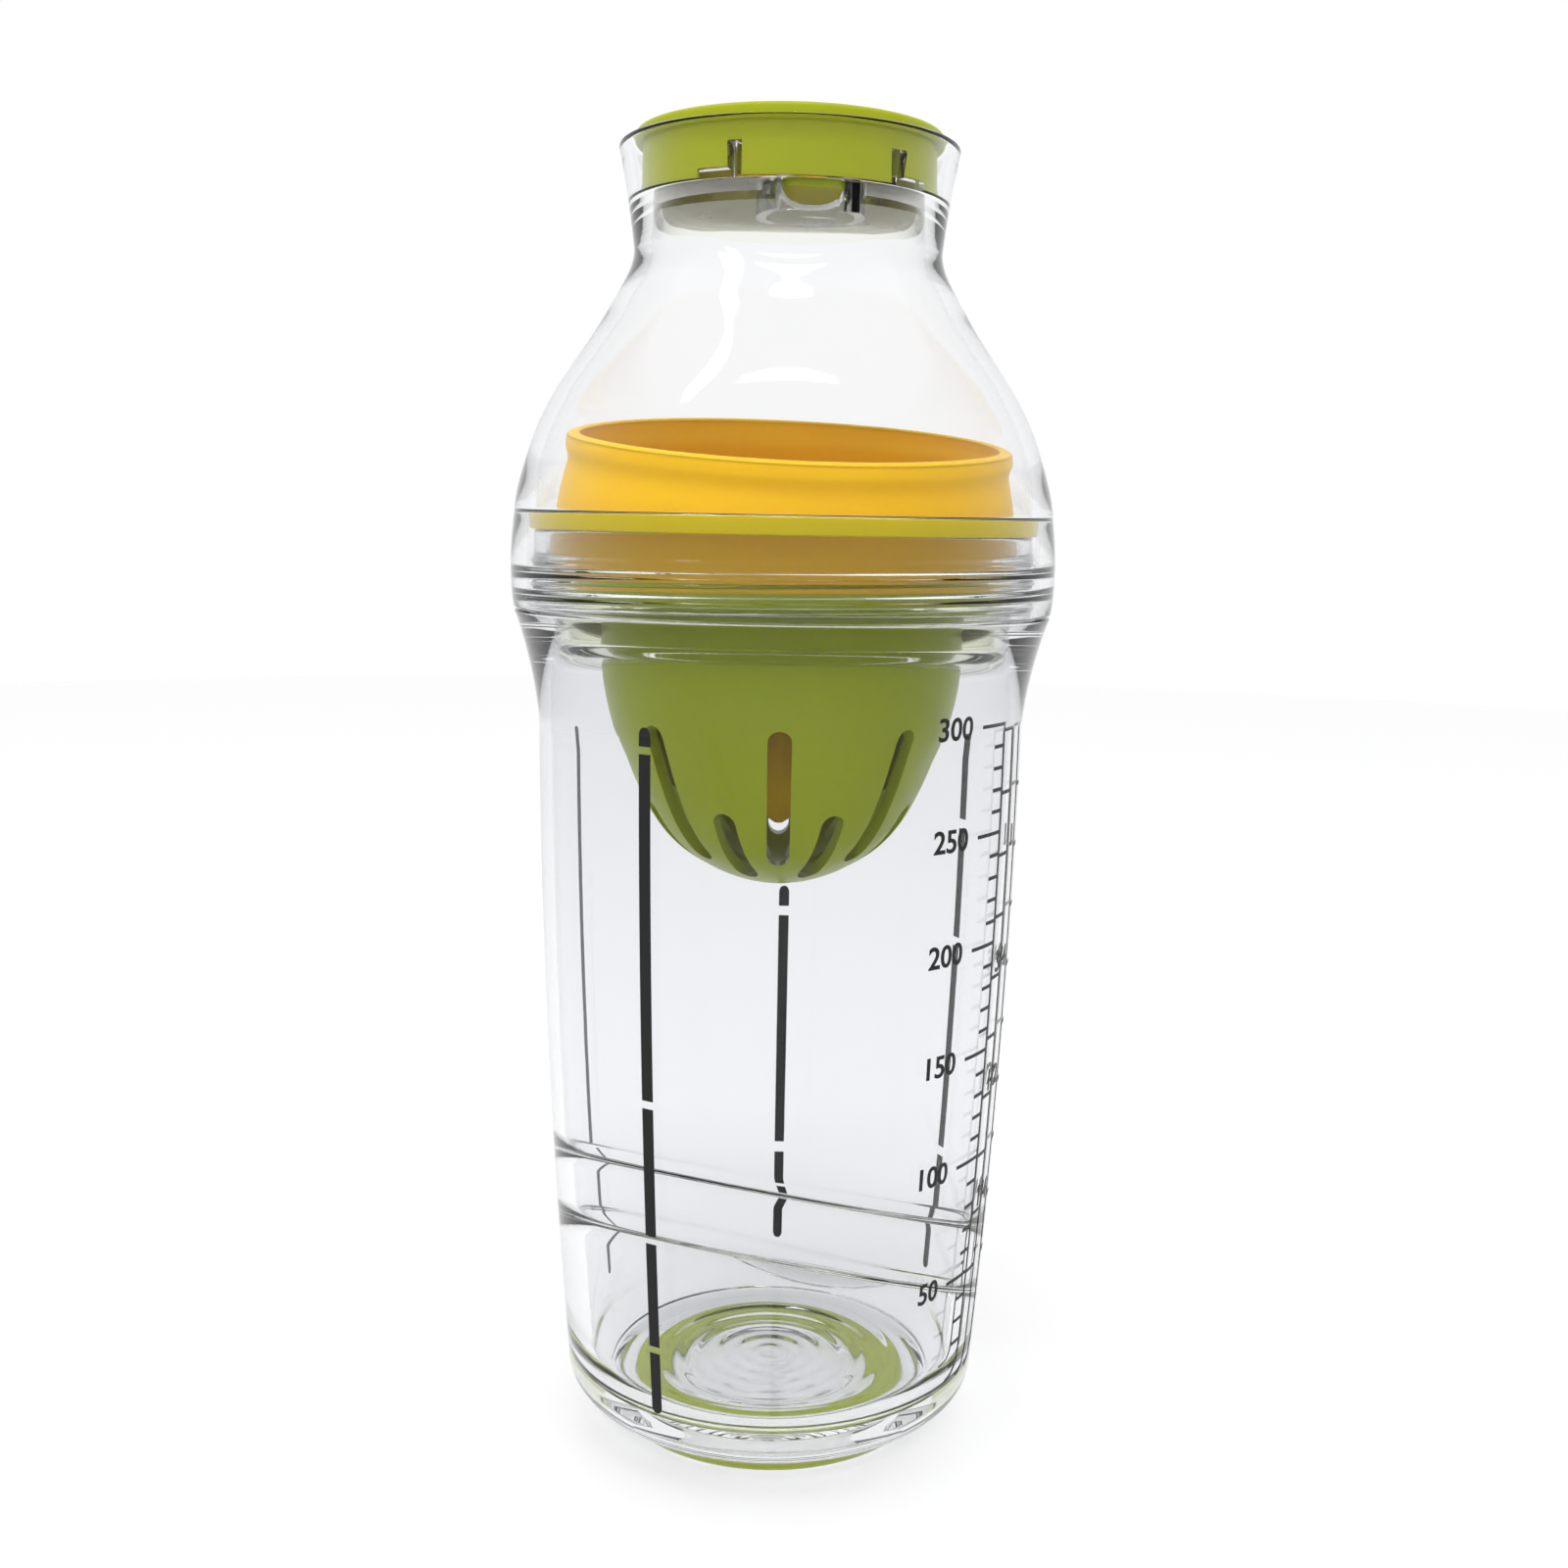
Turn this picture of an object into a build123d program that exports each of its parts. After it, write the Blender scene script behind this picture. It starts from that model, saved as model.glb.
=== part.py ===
from build123d import *
import os

# Salad dressing shaker: a clear tapered bottle with a threaded dome lid. A slotted strainer basket
# hangs in the bottle's mouth, a soft fluted reamer cup is stored upside down in the basket, and a
# keyed stopper closes the pour hole in the lid's collar. Millimetres, +Z up, -Y is the front, and
# z = 0 is the surface that the grip ring stands on. Outlines are (radius, height) pairs.

# ---------------------------------------------------------------- clearances
seat_gap = 0.05            # flat face resting on a flat face of another body
slip_gap = 0.3             # between curved walls that slide past each other
lid_seam = 0.3             # between the lid's skirt and the bottle's shelf
lid_thread_room = 0.9      # radial room for the screw threads
seal_side_gap = 0.15       # round the joint seal, inside the lid's bore
pan_gap = 0.4              # round the strainer's pan, inside the bottle's bore
cup_gap = 0.85             # round the reamer cup's base, inside the bottle's mouth
key_gap = 0.35             # round the guide fins, and round the stopper in its pocket
pin_gap = 0.05             # round the stopper's pin, inside its soft plug
past = 1.0                 # how far a cutting tool runs on past the face it cuts

# ---------------------------------------------------------------- bottle body
wall_base_radius = 30.4    # where the side meets the bottom corner
wall_top_radius = 34.5     # where the side meets the shoulder
wall_top_z = 104.0
wall_bulge = 0.95          # how far the side swells past its chord
bottle_wall = 1.8
shoulder_hollow = 0.48     # how far the shoulder is hollowed behind its chord
shelf_z = 119.2
shelf_width = 2.7          # the lid's skirt closes against this shelf
neck_wall = 1.6
neck_height = 10.8
ledge_width = 0.9          # the strainer's rim rests on this ledge in the mouth
mouth_depth = 9.0          # from the rim down to the ledge
rim_round = 0.45

# ---------------------------------------------------------------- foot and grip ring
corner_size = 5.2          # rise and reach of the bottom corner
corner_bulge = 1.15        # how far the bottom corner swells past its chord
foot_crease_z = 3.4
foot_flare = 1.7           # how far the foot widens up to the crease
foot_lift = 0.3            # the clear foot stays this far off the table
foot_rim = 2.6             # clear wall round the grip ring's recess
grip_width = 5.1
grip_height = 1.7
grip_edge_round = 0.4
dimple_margin = 3.0        # from the grip ring's inside to the dimple's edge
dimple_depth = 1.1
floor_thickness = 4.0
floor_corner_round = 7.0

# Two slanted mixing ledges run round the inside: the wall steps in below each.
upper_mixing_z = 33.3      # height of each ledge on the bottle's axis
lower_mixing_z = 23.4
mixing_step = 0.9
mixing_tilt = 22.5         # degrees
mixing_high_side = -27.0   # degrees from the front, towards +X, where the ledges are highest

# ---------------------------------------------------------------- joint seal
seal_height = 2.4
seal_lip = 0.1             # how far the seal covers the mouth
seal_edge_round = 0.3

# ---------------------------------------------------------------- strainer
strainer_wall = 1.8
strainer_rim_height = 2.3
pan_depth = 6.3            # from the ledge down to the pan's underside
pan_draft = 0.3
pan_corner_round = 1.6
basket_depth = 34.8        # from the pan's underside to the tip
basket_mid = (0.844, 0.509)    # shares of the basket's radius and depth, on its round side
basket_low = (0.547, 0.848)
basket_draft = 0.08        # slope of the basket's side where it leaves the pan
basket_lean_power = 1.7    # how late the basket's side leans over on its way to the tip
slot_count = 8
slot_width = 3.2
long_slot_rise = 5.0       # from the tip up to the slot's lower end
long_slot_length = 20.5
short_slot_rise = 2.3
short_slot_length = 10.6

# ---------------------------------------------------------------- reamer cup
cup_wall = 1.8
cup_floor = 1.8
cup_height = 19.7          # to the middle of the leaning rim
cup_draw = 1.85            # how far the waist is drawn in from the base
cup_lip = 0.35             # how far the lip swells past the waist
cup_swell = 0.1            # slight swell just above the base, and just below the rim
cup_lean = 8.0             # degrees that the soft rim leans towards the front
cup_lean_side = 1.9        # degrees that it leans towards +X
cup_shift_x = 0.6          # how far the rim is pushed aside
cup_shift_y = -1.2
cone_gap = 1.8             # between the cone's ridges and the basket's wall
cone_tip_gap = 6.9         # between the cone's tip and the basket's floor
cone_tip_radius = 0.6
cone_power = 2.45          # a high power keeps the cone full and rounds its nose
cone_levels = 7
cone_ribs = 10
rib_share = 0.86           # valley radius over ridge radius
cone_wall = 1.5            # rubber behind the valleys, at the cone's base
cone_hollow_share = 0.62   # depth of the hollow over the depth of the cone
cone_hollow_taper = 20.0   # degrees
drain_count = 10
drain_band = 8.95          # width of the cup's floor between the cone and the wall
drain_width = 2.4
drain_margin = 2.2         # from each end of a drain slot to the cone and to the cup's wall

# ---------------------------------------------------------------- dome lid
skirt_wall = 1.9
skirt_bulge = 0.43         # how far the skirt swells past its chord
press_ledge_width = 1.2    # the lid's inner ledge presses the joint seal down
dome_wall = 2.2
dome_base_inset = 0.2      # the dome's round side: inset from the skirt, rise from the press ledge
dome_base_slope = 0.04
shoulder_inset = 1.85
shoulder_rise = 7.5
slope_inset = 5.2
slope_rise = 15.5
low_neck_flare = 3.7       # how much wider than the waist the neck is where the dome runs into it
low_neck_rise = 27.5
waist_radius = 21.3
waist_rise = 35.9
collar_height = 13.8
collar_flare = 2.15
collar_hollow = 0.18       # how far the collar is hollowed behind its chord
collar_wall = 1.65
deck_depth = 7.2           # from the collar's rim down to the deck that closes it
deck_thickness = 1.2
deck_haunch = 1.4          # extra thickness where the deck meets the wall
deck_haunch_width = 1.3
pocket_wall = 1.9          # wall round the pocket at the deck
lid_clock = 11.0           # degrees from the front to the pour hole, towards +X
pour_radius = 5.6
pour_edge_gap = 0.95       # from the pour hole to the pocket's wall
spout_wall = 1.3
spout_drop = 3.8           # from the deck down to the spout's end
guide_angle = 31.0         # degrees from the pour hole to each guide fin
guide_length = 2.9
guide_thickness = 1.2
guide_height = 4.4
toe_angle = 13.0           # degrees of collar that the low toe beside a fin takes
toe_room_angle = 2.0       # degrees of room past the toe in the stopper's skirt
toe_height = 1.1
toe_width = 1.2

# ---------------------------------------------------------------- stopper
cap_proud = 1.8            # how far the stopper stands above the collar
cap_edge_gap = 0.6         # between the stopper's disc and the collar's rim
cap_disc_height = 2.1
cap_wall = 1.4
cap_edge_round = 0.6
dish_margin = 6.2          # from the disc's edge to the shallow dish in its top
dish_depth = 0.5
boss_radius = 5.0
pin_radius = 2.2
pin_length = 1.8
plug_overlap = 2.4         # how far the soft plug's pad reaches past the pour hole
plug_pad_height = 3.5
plug_nose_depth = 0.9

# ---------------------------------------------------------------- sizes that follow
bore_radius = wall_top_radius - bottle_wall
mouth_radius = bore_radius + ledge_width
neck_radius = mouth_radius + neck_wall
shelf_radius = neck_radius + shelf_width
rim_z = shelf_z + neck_height
ledge_z = rim_z - mouth_depth

corner_top_z = foot_crease_z + corner_size
crease_radius = wall_base_radius - corner_size
foot_radius = crease_radius - foot_flare
grip_outer_radius = foot_radius - foot_rim - slip_gap
grip_inner_radius = grip_outer_radius - grip_width
floor_z = grip_height + dimple_depth + floor_thickness

seal_z = rim_z + seat_gap
seal_top_z = seal_z + seal_height
lid_bore = neck_radius + lid_thread_room

strainer_z = ledge_z + seat_gap
strainer_top_z = strainer_z + strainer_rim_height
strainer_rim_radius = mouth_radius - slip_gap
pan_top_radius = bore_radius - pan_gap
pan_bottom_radius = pan_top_radius - pan_draft
pan_z = ledge_z - pan_depth
tip_z = pan_z - basket_depth
cup_base_radius = mouth_radius - cup_gap
cone_base_radius = cup_base_radius - cup_wall - drain_band
basket_radius = cone_base_radius + cone_gap + strainer_wall

cup_z = strainer_top_z + seat_gap
cup_floor_z = cup_z + cup_floor
cup_waist_radius = cup_base_radius - cup_draw
cup_lip_radius = cup_waist_radius + cup_lip
cone_depth = cup_floor_z - (tip_z + strainer_wall + cone_tip_gap)

press_z = seal_top_z + seat_gap
skirt_z = shelf_z + lid_seam
skirt_radius = lid_bore + skirt_wall
waist_z = press_z + waist_rise
waist_inner = waist_radius - dome_wall
collar_radius = waist_radius + collar_flare
collar_z = waist_z + collar_height
collar_inner = collar_radius - collar_wall
deck_z = collar_z - deck_depth
pocket_radius = (waist_radius + collar_radius) / 2 - pocket_wall
pour_offset = pocket_radius - pour_edge_gap - pour_radius
guide_root = pocket_radius + collar_wall / 2

cap_z = deck_z + seat_gap
cap_top_z = collar_z + cap_proud
cap_disc_z = cap_top_z - cap_disc_height
cap_radius = collar_inner - cap_edge_gap
cap_skirt_radius = pocket_radius - key_gap
cap_skirt_inner = cap_skirt_radius - cap_wall
plug_top_z = cap_z + plug_pad_height


# ---------------------------------------------------------------- helpers
def turned(outline):
    """Turn a closed outline of (radius, height) lines about the vertical axis."""
    return revolve(Plane.XZ * make_face(outline), Axis.Z)


def bowed(start, end, bow):
    """An arc between two points whose middle stands a bow further out than the chord's."""
    middle = ((start[0] + end[0]) / 2 + bow, (start[1] + end[1]) / 2)
    return ThreePointArc(start, middle, end)


def ring(inner, outer, low, high):
    """A plain ring between two radii and two heights."""
    return Pos(0, 0, low) * extrude(Circle(outer) - Circle(inner), high - low)


def disc(radius, low, high):
    """A plain disc between two heights."""
    return Pos(0, 0, low) * extrude(Circle(radius), high - low)


def aim(degrees):
    """Turn about the vertical axis, from the front towards +X."""
    return Rot(0, 0, degrees)


def level_edges(part, height, tolerance=0.01):
    """The level edges that lie at one height."""
    return part.edges().filter_by_position(Axis.Z, height - tolerance, height + tolerance)


# ---------------------------------------------------------------- bottle
def bottle_outside():
    """The outer form: foot, bottom corner, tapered wall, shoulder, shelf and neck."""
    crease = (crease_radius, foot_crease_z)
    corner_end = (wall_base_radius, corner_top_z)
    corner_mid = ((crease[0] + corner_end[0]) / 2 + corner_bulge,
                  (crease[1] + corner_end[1]) / 2 - corner_bulge)
    wall_top = (wall_top_radius, wall_top_z)
    shelf = (shelf_radius, shelf_z)
    return turned([
        Line((0, foot_lift), (foot_radius, foot_lift)),
        Line((foot_radius, foot_lift), crease),
        ThreePointArc(crease, corner_mid, corner_end),
        bowed(corner_end, wall_top, wall_bulge),
        bowed(wall_top, shelf, -shoulder_hollow),
        Line(shelf, (neck_radius, shelf_z)),
        Line((neck_radius, shelf_z), (neck_radius, rim_z)),
        Line((neck_radius, rim_z), (0, rim_z)),
        Line((0, rim_z), (0, foot_lift)),
    ])


def bottle_hollow(wall):
    """The inside of the bottle for one wall thickness, up to the top of the taper."""
    low = (wall_base_radius - wall, floor_z)
    high = (wall_top_radius - wall, wall_top_z)
    hollow = turned([
        bowed(low, high, wall_bulge),
        Line(high, (0, wall_top_z)),
        Line((0, wall_top_z), (0, floor_z)),
        Line((0, floor_z), low),
    ])
    return fillet(level_edges(hollow, floor_z), floor_corner_round)


def slanted_plane(height):
    """The tilted plane of one mixing ledge, through the axis at a height."""
    return Plane(Location((0, 0, height)) * aim(mixing_high_side) * Rot(-mixing_tilt, 0, 0))


def bottle_inside():
    """Mouth, strainer ledge, tapered bore and the two slanted mixing ledges."""
    inside = disc(mouth_radius, ledge_z, rim_z + past) + disc(bore_radius, wall_top_z, ledge_z)
    for step, height in enumerate((upper_mixing_z, lower_mixing_z)):
        hollow = bottle_hollow(bottle_wall + step * mixing_step)
        inside += split(hollow, bisect_by=slanted_plane(height), keep=Keep.TOP)
    return inside + bottle_hollow(bottle_wall + 2 * mixing_step)


def make_bottle_body():
    """Clear bottle with a recess under its foot for the grip ring."""
    body = bottle_outside() - bottle_inside()
    body -= disc(grip_outer_radius + slip_gap, 0, grip_height)
    body -= disc(grip_inner_radius - dimple_margin, 0, grip_height + dimple_depth)
    return fillet(level_edges(body, rim_z), rim_round)


def make_base_grip_ring():
    """Soft ring under the foot that keeps the bottle from sliding."""
    grip = ring(grip_inner_radius, grip_outer_radius, 0, grip_height)
    return fillet(level_edges(grip, 0), grip_edge_round)


def make_joint_seal():
    """Flat sealing ring between the bottle's rim and the lid's inner ledge."""
    seal = ring(mouth_radius - seal_lip, lid_bore - seal_side_gap, seal_z, seal_top_z)
    return fillet(level_edges(seal, seal_top_z), seal_edge_round)


# ---------------------------------------------------------------- strainer
def basket_point(shares, inset):
    """A point on the basket's round side, moved inwards square to the slope there."""
    radius, depth = shares
    lean = depth ** basket_lean_power
    return (basket_radius * radius - inset * (1 - lean ** 2) ** 0.5,
            pan_z - basket_depth * depth + inset * lean)


def basket_curve(inset, top):
    """The basket's side from top down to the tip, drawn inwards by inset."""
    return Spline((basket_radius - inset, top),
                  basket_point(basket_mid, inset),
                  basket_point(basket_low, inset),
                  (0, tip_z + inset),
                  tangents=((-basket_draft, -1), (-1, 0)))


def slot_cutter(rise, length):
    """A round-ended slot through the front of the basket, from a rise above the tip."""
    slot = SlotCenterToCenter(length - slot_width, slot_width, rotation=90)
    return extrude(Plane.XZ * Pos(0, tip_z + rise + length / 2) * slot, basket_radius + past)


def make_strainer_basket():
    """Rimmed pan with a domed basket, cut by long slots with short ones between them."""
    rim_inner = strainer_rim_radius - strainer_wall - (strainer_rim_radius - pan_top_radius)
    floor_top = pan_z + strainer_wall
    outside = turned([
        Line((0, strainer_top_z), (strainer_rim_radius, strainer_top_z)),
        Line((strainer_rim_radius, strainer_top_z), (strainer_rim_radius, strainer_z)),
        Line((strainer_rim_radius, strainer_z), (pan_top_radius, strainer_z)),
        Line((pan_top_radius, strainer_z), (pan_bottom_radius, pan_z)),
        Line((pan_bottom_radius, pan_z), (basket_radius, pan_z)),
        basket_curve(0, pan_z),
        Line((0, tip_z), (0, strainer_top_z)),
    ])
    outside = fillet(level_edges(outside, pan_z), pan_corner_round)
    inside = turned([
        Line((0, strainer_top_z), (rim_inner, strainer_top_z)),
        Line((rim_inner, strainer_top_z), (pan_bottom_radius - strainer_wall, floor_top)),
        Line((pan_bottom_radius - strainer_wall, floor_top), (basket_radius - strainer_wall, floor_top)),
        basket_curve(strainer_wall, floor_top),
        Line((0, tip_z + strainer_wall), (0, strainer_top_z)),
    ])
    basket = outside - inside
    pitch = 360 / slot_count
    for index in range(slot_count):
        basket -= aim(index * pitch) * slot_cutter(long_slot_rise, long_slot_length)
        basket -= aim((index + 0.5) * pitch) * slot_cutter(short_slot_rise, short_slot_length)
    return basket


# ---------------------------------------------------------------- reamer cup
def cup_section(height, radius, lean):
    """One circle of the cup's wall: lean is its share of the rim's tilt and shift."""
    place = Pos(cup_shift_x * lean, cup_shift_y * lean, height)
    return place * Rot(cup_lean * lean, cup_lean_side * lean, 0) * Circle(radius)


def cup_form(inset, low):
    """The soft wall as a solid: upright at the base, waisted, and leaning at the rim."""
    swollen = cup_base_radius + cup_swell
    drawn = (cup_base_radius + cup_waist_radius) / 2
    levels = (             # share of the height, radius, share of the lean
        (0.28, swollen, 0.06),
        (0.56, drawn, 0.5),
        (0.77, cup_waist_radius, 0.86),
        (0.9, cup_lip_radius, 1),
        (1, cup_lip_radius - cup_swell, 1),
    )
    base = cup_section(low, cup_base_radius - inset, 0)
    return loft([base] + [cup_section(cup_z + cup_height * share, radius - inset, lean)
                          for share, radius, lean in levels])


def star(radius, height):
    """A closed outline of ridges and valleys at one height."""
    half_pitch = 180 / cone_ribs
    reaches = [radius, radius * rib_share] * cone_ribs
    points = [Vector(0, -reach, 0).rotate(Axis.Z, index * half_pitch)
              for index, reach in enumerate(reaches)]
    return Pos(0, 0, height) * make_face(Polyline(*points, close=True))


def fluted_cone():
    """The reamer's ridged cone, point down, full at its base and round at its nose."""
    sections = []
    for level in range(cone_levels):
        drop = 1 - (1 - level / (cone_levels - 1)) ** 2
        radius = cone_base_radius * (1 - drop ** cone_power) + cone_tip_radius * drop
        sections.append(star(radius, cup_floor_z - cone_depth * drop))
    return loft(sections, ruled=True)


def make_reamer_cup():
    """Soft cup whose floor drops into a hollow fluted cone, with drain slots round the cone."""
    mouth = Circle(cone_base_radius * rib_share - cone_wall)
    hollow = extrude(mouth, cone_depth * cone_hollow_share, taper=cone_hollow_taper)
    cup = cup_form(0, cup_z) - cup_form(cup_wall, cup_floor_z)
    cup = cup + fluted_cone() - Pos(0, 0, cup_floor_z) * Rot(180, 0, 0) * hollow
    inner = cone_base_radius + drain_margin
    outer = cone_base_radius + drain_band - drain_margin
    slot = Pos(0, -(inner + outer) / 2) * SlotOverall(outer - inner, drain_width, rotation=90)
    drain = Pos(0, 0, cup_z - past) * extrude(slot, cup_floor + 2 * past)
    for index in range(drain_count):
        cup -= aim((index + 0.5) * 360 / drain_count) * drain
    return cup


# ---------------------------------------------------------------- lid
def dome_curve(base, inset):
    """The lid's side from a point at its base up to the waist, drawn inwards by inset."""
    return Spline(base,
                  (skirt_radius - shoulder_inset - inset, press_z + shoulder_rise),
                  (skirt_radius - slope_inset - inset, press_z + slope_rise),
                  (waist_radius + low_neck_flare - inset, press_z + low_neck_rise),
                  (waist_radius - inset, waist_z),
                  tangents=((-dome_base_slope, 1), (0, 1)))


def lid_outside():
    """The lid's outer form as a solid, from the skirt to the collar's rim."""
    skirt_top = (skirt_radius - dome_base_inset, press_z)
    return turned([
        Line((0, skirt_z), (skirt_radius, skirt_z)),
        bowed((skirt_radius, skirt_z), skirt_top, skirt_bulge),
        dome_curve(skirt_top, 0),
        bowed((waist_radius, waist_z), (collar_radius, collar_z), -collar_hollow),
        Line((collar_radius, collar_z), (0, collar_z)),
        Line((0, collar_z), (0, skirt_z)),
    ])


def lid_inside():
    """The space under the deck: the bore over the neck, the press ledge and the dome's inside."""
    ledge = (lid_bore - press_ledge_width, press_z)
    deck_under = deck_z - deck_thickness
    haunch = (waist_inner, deck_under - deck_haunch)
    haunch_end = (waist_inner - deck_haunch_width, deck_under)
    return turned([
        Line((0, skirt_z), (lid_bore, skirt_z)),
        Line((lid_bore, skirt_z), (lid_bore, press_z)),
        Line((lid_bore, press_z), ledge),
        dome_curve(ledge, dome_wall),
        Line((waist_inner, waist_z), haunch),
        Line(haunch, haunch_end),
        Line(haunch_end, (0, deck_under)),
        Line((0, deck_under), (0, skirt_z)),
    ])


def lid_pocket():
    """The space above the deck, which the stopper fills."""
    return turned([
        Line((0, deck_z), (pocket_radius, deck_z)),
        Line((pocket_radius, deck_z), (collar_inner, collar_z)),
        Line((collar_inner, collar_z), (0, collar_z)),
        Line((0, collar_z), (0, deck_z)),
    ])


def pour_axis():
    """The place of the pour hole's axis in plan."""
    return aim(lid_clock) * Pos(0, -pour_offset, 0)


def guide_toe(side, inner, height, angle):
    """A low bar that starts at a fin and leads along the collar, away from the pour hole."""
    section = Plane.XZ * Pos((inner + guide_root) / 2, deck_z + height / 2)
    start = -90 if side > 0 else -90 - angle
    return aim(start) * revolve(section * Rectangle(guide_root - inner, height), Axis.Z, angle)


def pour_guide(side):
    """One fin beside the pour hole, with its low toe."""
    inner = pocket_radius - guide_length
    fin = Box(guide_thickness, guide_root - inner, guide_height)
    place = Pos(0, -(inner + guide_root) / 2, deck_z + guide_height / 2)
    return place * fin + guide_toe(side, pocket_radius - toe_width, toe_height, toe_angle)


def make_dome_lid():
    """Clear threaded lid: skirt, dome, waist, flared collar, deck, pour hole and guides."""
    spout = ring(pour_radius, pour_radius + spout_wall, deck_z - spout_drop, deck_z - deck_thickness / 2)
    lid = lid_outside() - lid_inside() - lid_pocket() + pour_axis() * spout
    for side in (-1, 1):
        lid += aim(lid_clock + side * guide_angle) * pour_guide(side)
    return lid - pour_axis() * disc(pour_radius, deck_z - spout_drop, deck_z)


# ---------------------------------------------------------------- stopper
def guide_room(side):
    """What the stopper's skirt leaves free for one fin and its toe."""
    height = guide_height + key_gap
    notch = Box(guide_thickness + 2 * key_gap, 4 * cap_wall, height)
    toe = guide_toe(side, 0, toe_height + key_gap, toe_angle + toe_room_angle)
    return Pos(0, -cap_skirt_radius, cap_z + height / 2) * notch + toe


def make_stopper_cap():
    """Stopper shell: a disc, a skirt notched over the guide fins, and a boss for the plug."""
    skirt = ring(cap_skirt_inner, cap_skirt_radius, cap_z, cap_disc_z)
    for side in (-1, 1):
        skirt -= aim(lid_clock + side * guide_angle) * guide_room(side)
    top = disc(cap_radius, cap_disc_z, cap_top_z)
    top = fillet(level_edges(top, cap_top_z), cap_edge_round)
    top -= disc(cap_radius - dish_margin, cap_top_z - dish_depth, cap_top_z)
    boss = disc(boss_radius, plug_top_z, cap_disc_z)
    pin = disc(pin_radius, plug_top_z - pin_length, plug_top_z)
    return top + skirt + pour_axis() * (boss + pin)


def make_stopper_plug():
    """Soft plug: a pad that seals on the deck, a nose in the pour hole and a blind pin hole."""
    pad = pour_axis() * disc(pour_radius + plug_overlap, cap_z, plug_top_z)
    pad = pad & disc(cap_skirt_inner - pin_gap, cap_z, plug_top_z)
    nose = disc(pour_radius - slip_gap, cap_z - plug_nose_depth, cap_z)
    nose = fillet(level_edges(nose, cap_z - plug_nose_depth), plug_nose_depth / 2)
    pin_hole = disc(pin_radius + pin_gap, plug_top_z - pin_length - pin_gap, plug_top_z)
    return pad + pour_axis() * nose - pour_axis() * pin_hole


# ---------------------------------------------------------------- files
nodes = {
    "bottle_body": make_bottle_body,
    "base_grip_ring": make_base_grip_ring,
    "joint_seal": make_joint_seal,
    "strainer_basket": make_strainer_basket,
    "reamer_cup": make_reamer_cup,
    "dome_lid": make_dome_lid,
    "stopper_cap": make_stopper_cap,
    "stopper_plug": make_stopper_plug,
}

os.makedirs("parts", exist_ok=True)
for name, make in nodes.items():
    export_step(make(), f"parts/{name}.step")
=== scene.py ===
from math import asin, atan2, ceil, cos, degrees, hypot, pi, radians, sin, sqrt, tan

import bpy
from bpy.props import FloatProperty, FloatVectorProperty, IntProperty, PointerProperty
from bpy.types import Operator, Panel, PropertyGroup
from mathutils import Euler, Matrix, Vector


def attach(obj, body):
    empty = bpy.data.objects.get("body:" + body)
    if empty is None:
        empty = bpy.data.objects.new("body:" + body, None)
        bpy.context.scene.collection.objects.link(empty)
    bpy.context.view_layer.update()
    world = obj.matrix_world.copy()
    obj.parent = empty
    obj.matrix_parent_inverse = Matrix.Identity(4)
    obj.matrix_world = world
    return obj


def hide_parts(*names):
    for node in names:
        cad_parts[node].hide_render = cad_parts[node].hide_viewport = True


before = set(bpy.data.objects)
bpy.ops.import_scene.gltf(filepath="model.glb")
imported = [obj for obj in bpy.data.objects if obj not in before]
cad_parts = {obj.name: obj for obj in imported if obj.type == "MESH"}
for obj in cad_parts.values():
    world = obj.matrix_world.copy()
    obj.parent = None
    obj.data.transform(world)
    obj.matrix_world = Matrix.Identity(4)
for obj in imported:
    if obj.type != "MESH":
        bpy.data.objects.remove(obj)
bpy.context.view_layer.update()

bl_info = {
    "name": "Dressing Shaker",
    "version": (1, 0),
    "blender": (4, 5, 0),
    "location": "View3D > Sidebar > Shaker",
    "description": "Dresses a salad dressing shaker bottle in clear plastic, lime plastic and silicone",
    "category": "Object",
}

# Outlines are lists of (radius, height) in millimetres, and MM turns them into metres.
# -Y is the front, +Z is up, and angles run from the front towards +X.
MM = 0.001
FINE = 1e-6

# Bottle
WALL_BASE = (30.4, 8.6)
WALL_TOP = (34.5, 104.0)
WALL_BULGE = 0.95
WALL = 1.8
FOOT_EDGE = (23.5, 0.1)
CREASE = (25.2, 3.4)
CORNER_BULGE = 1.15
SHELF = (37.9, 119.2)
SHOULDER_HOLLOW = 0.48
NECK_R, RIM_Z = 35.2, 130.0
MOUTH_R, LEDGE_Z, BORE_R = 33.6, 121.0, 32.7
RECESS_R, RECESS_Z = 20.9, 1.7
DIMPLE_R, DIMPLE_Z = 12.5, 2.8
FLOOR_Z, FLOOR_ROUND = 6.8, 7.0
UPPER_MIX_Z, LOWER_MIX_Z, MIX_STEP = 33.3, 23.4, 0.9
MIX_TILT, MIX_HIGH = 22.5, -27.0
MIX_TOP_Z, MIX_SOFT = 62.0, 0.5
FLOOR_FLAT, RIPPLE, RIPPLE_WAVE = 21.3, 0.17, 2.6

# Lid
SKIRT_R, SKIRT_Z, SKIRT_BULGE = 38.0, 119.5, 0.43
LID_BORE = 36.1
PRESS_Z, PRESS_R = 132.5, 34.9
DOME_WALL = 2.2
DOME = ((37.8, PRESS_Z), (36.15, 140.0), (32.8, 148.0), (25.0, 160.0), (21.3, 168.4))
COLLAR_TOP = (23.45, 182.2)
COLLAR_HOLLOW, COLLAR_WALL = 0.18, 1.65
DECK_Z, DECK, HAUNCH = 175.0, 1.2, (1.3, 1.4)
POCKET_R = 20.47
POUR_R, POUR_AT, POUR_CLOCK = 5.6, 13.9, 11.0
SPOUT_WALL, SPOUT_DROP = 1.3, 3.8
FIN_CLOCK, FIN_IN, FIN_THICK, FIN_HIGH = 31.0, 17.55, 1.2, 4.4
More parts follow.
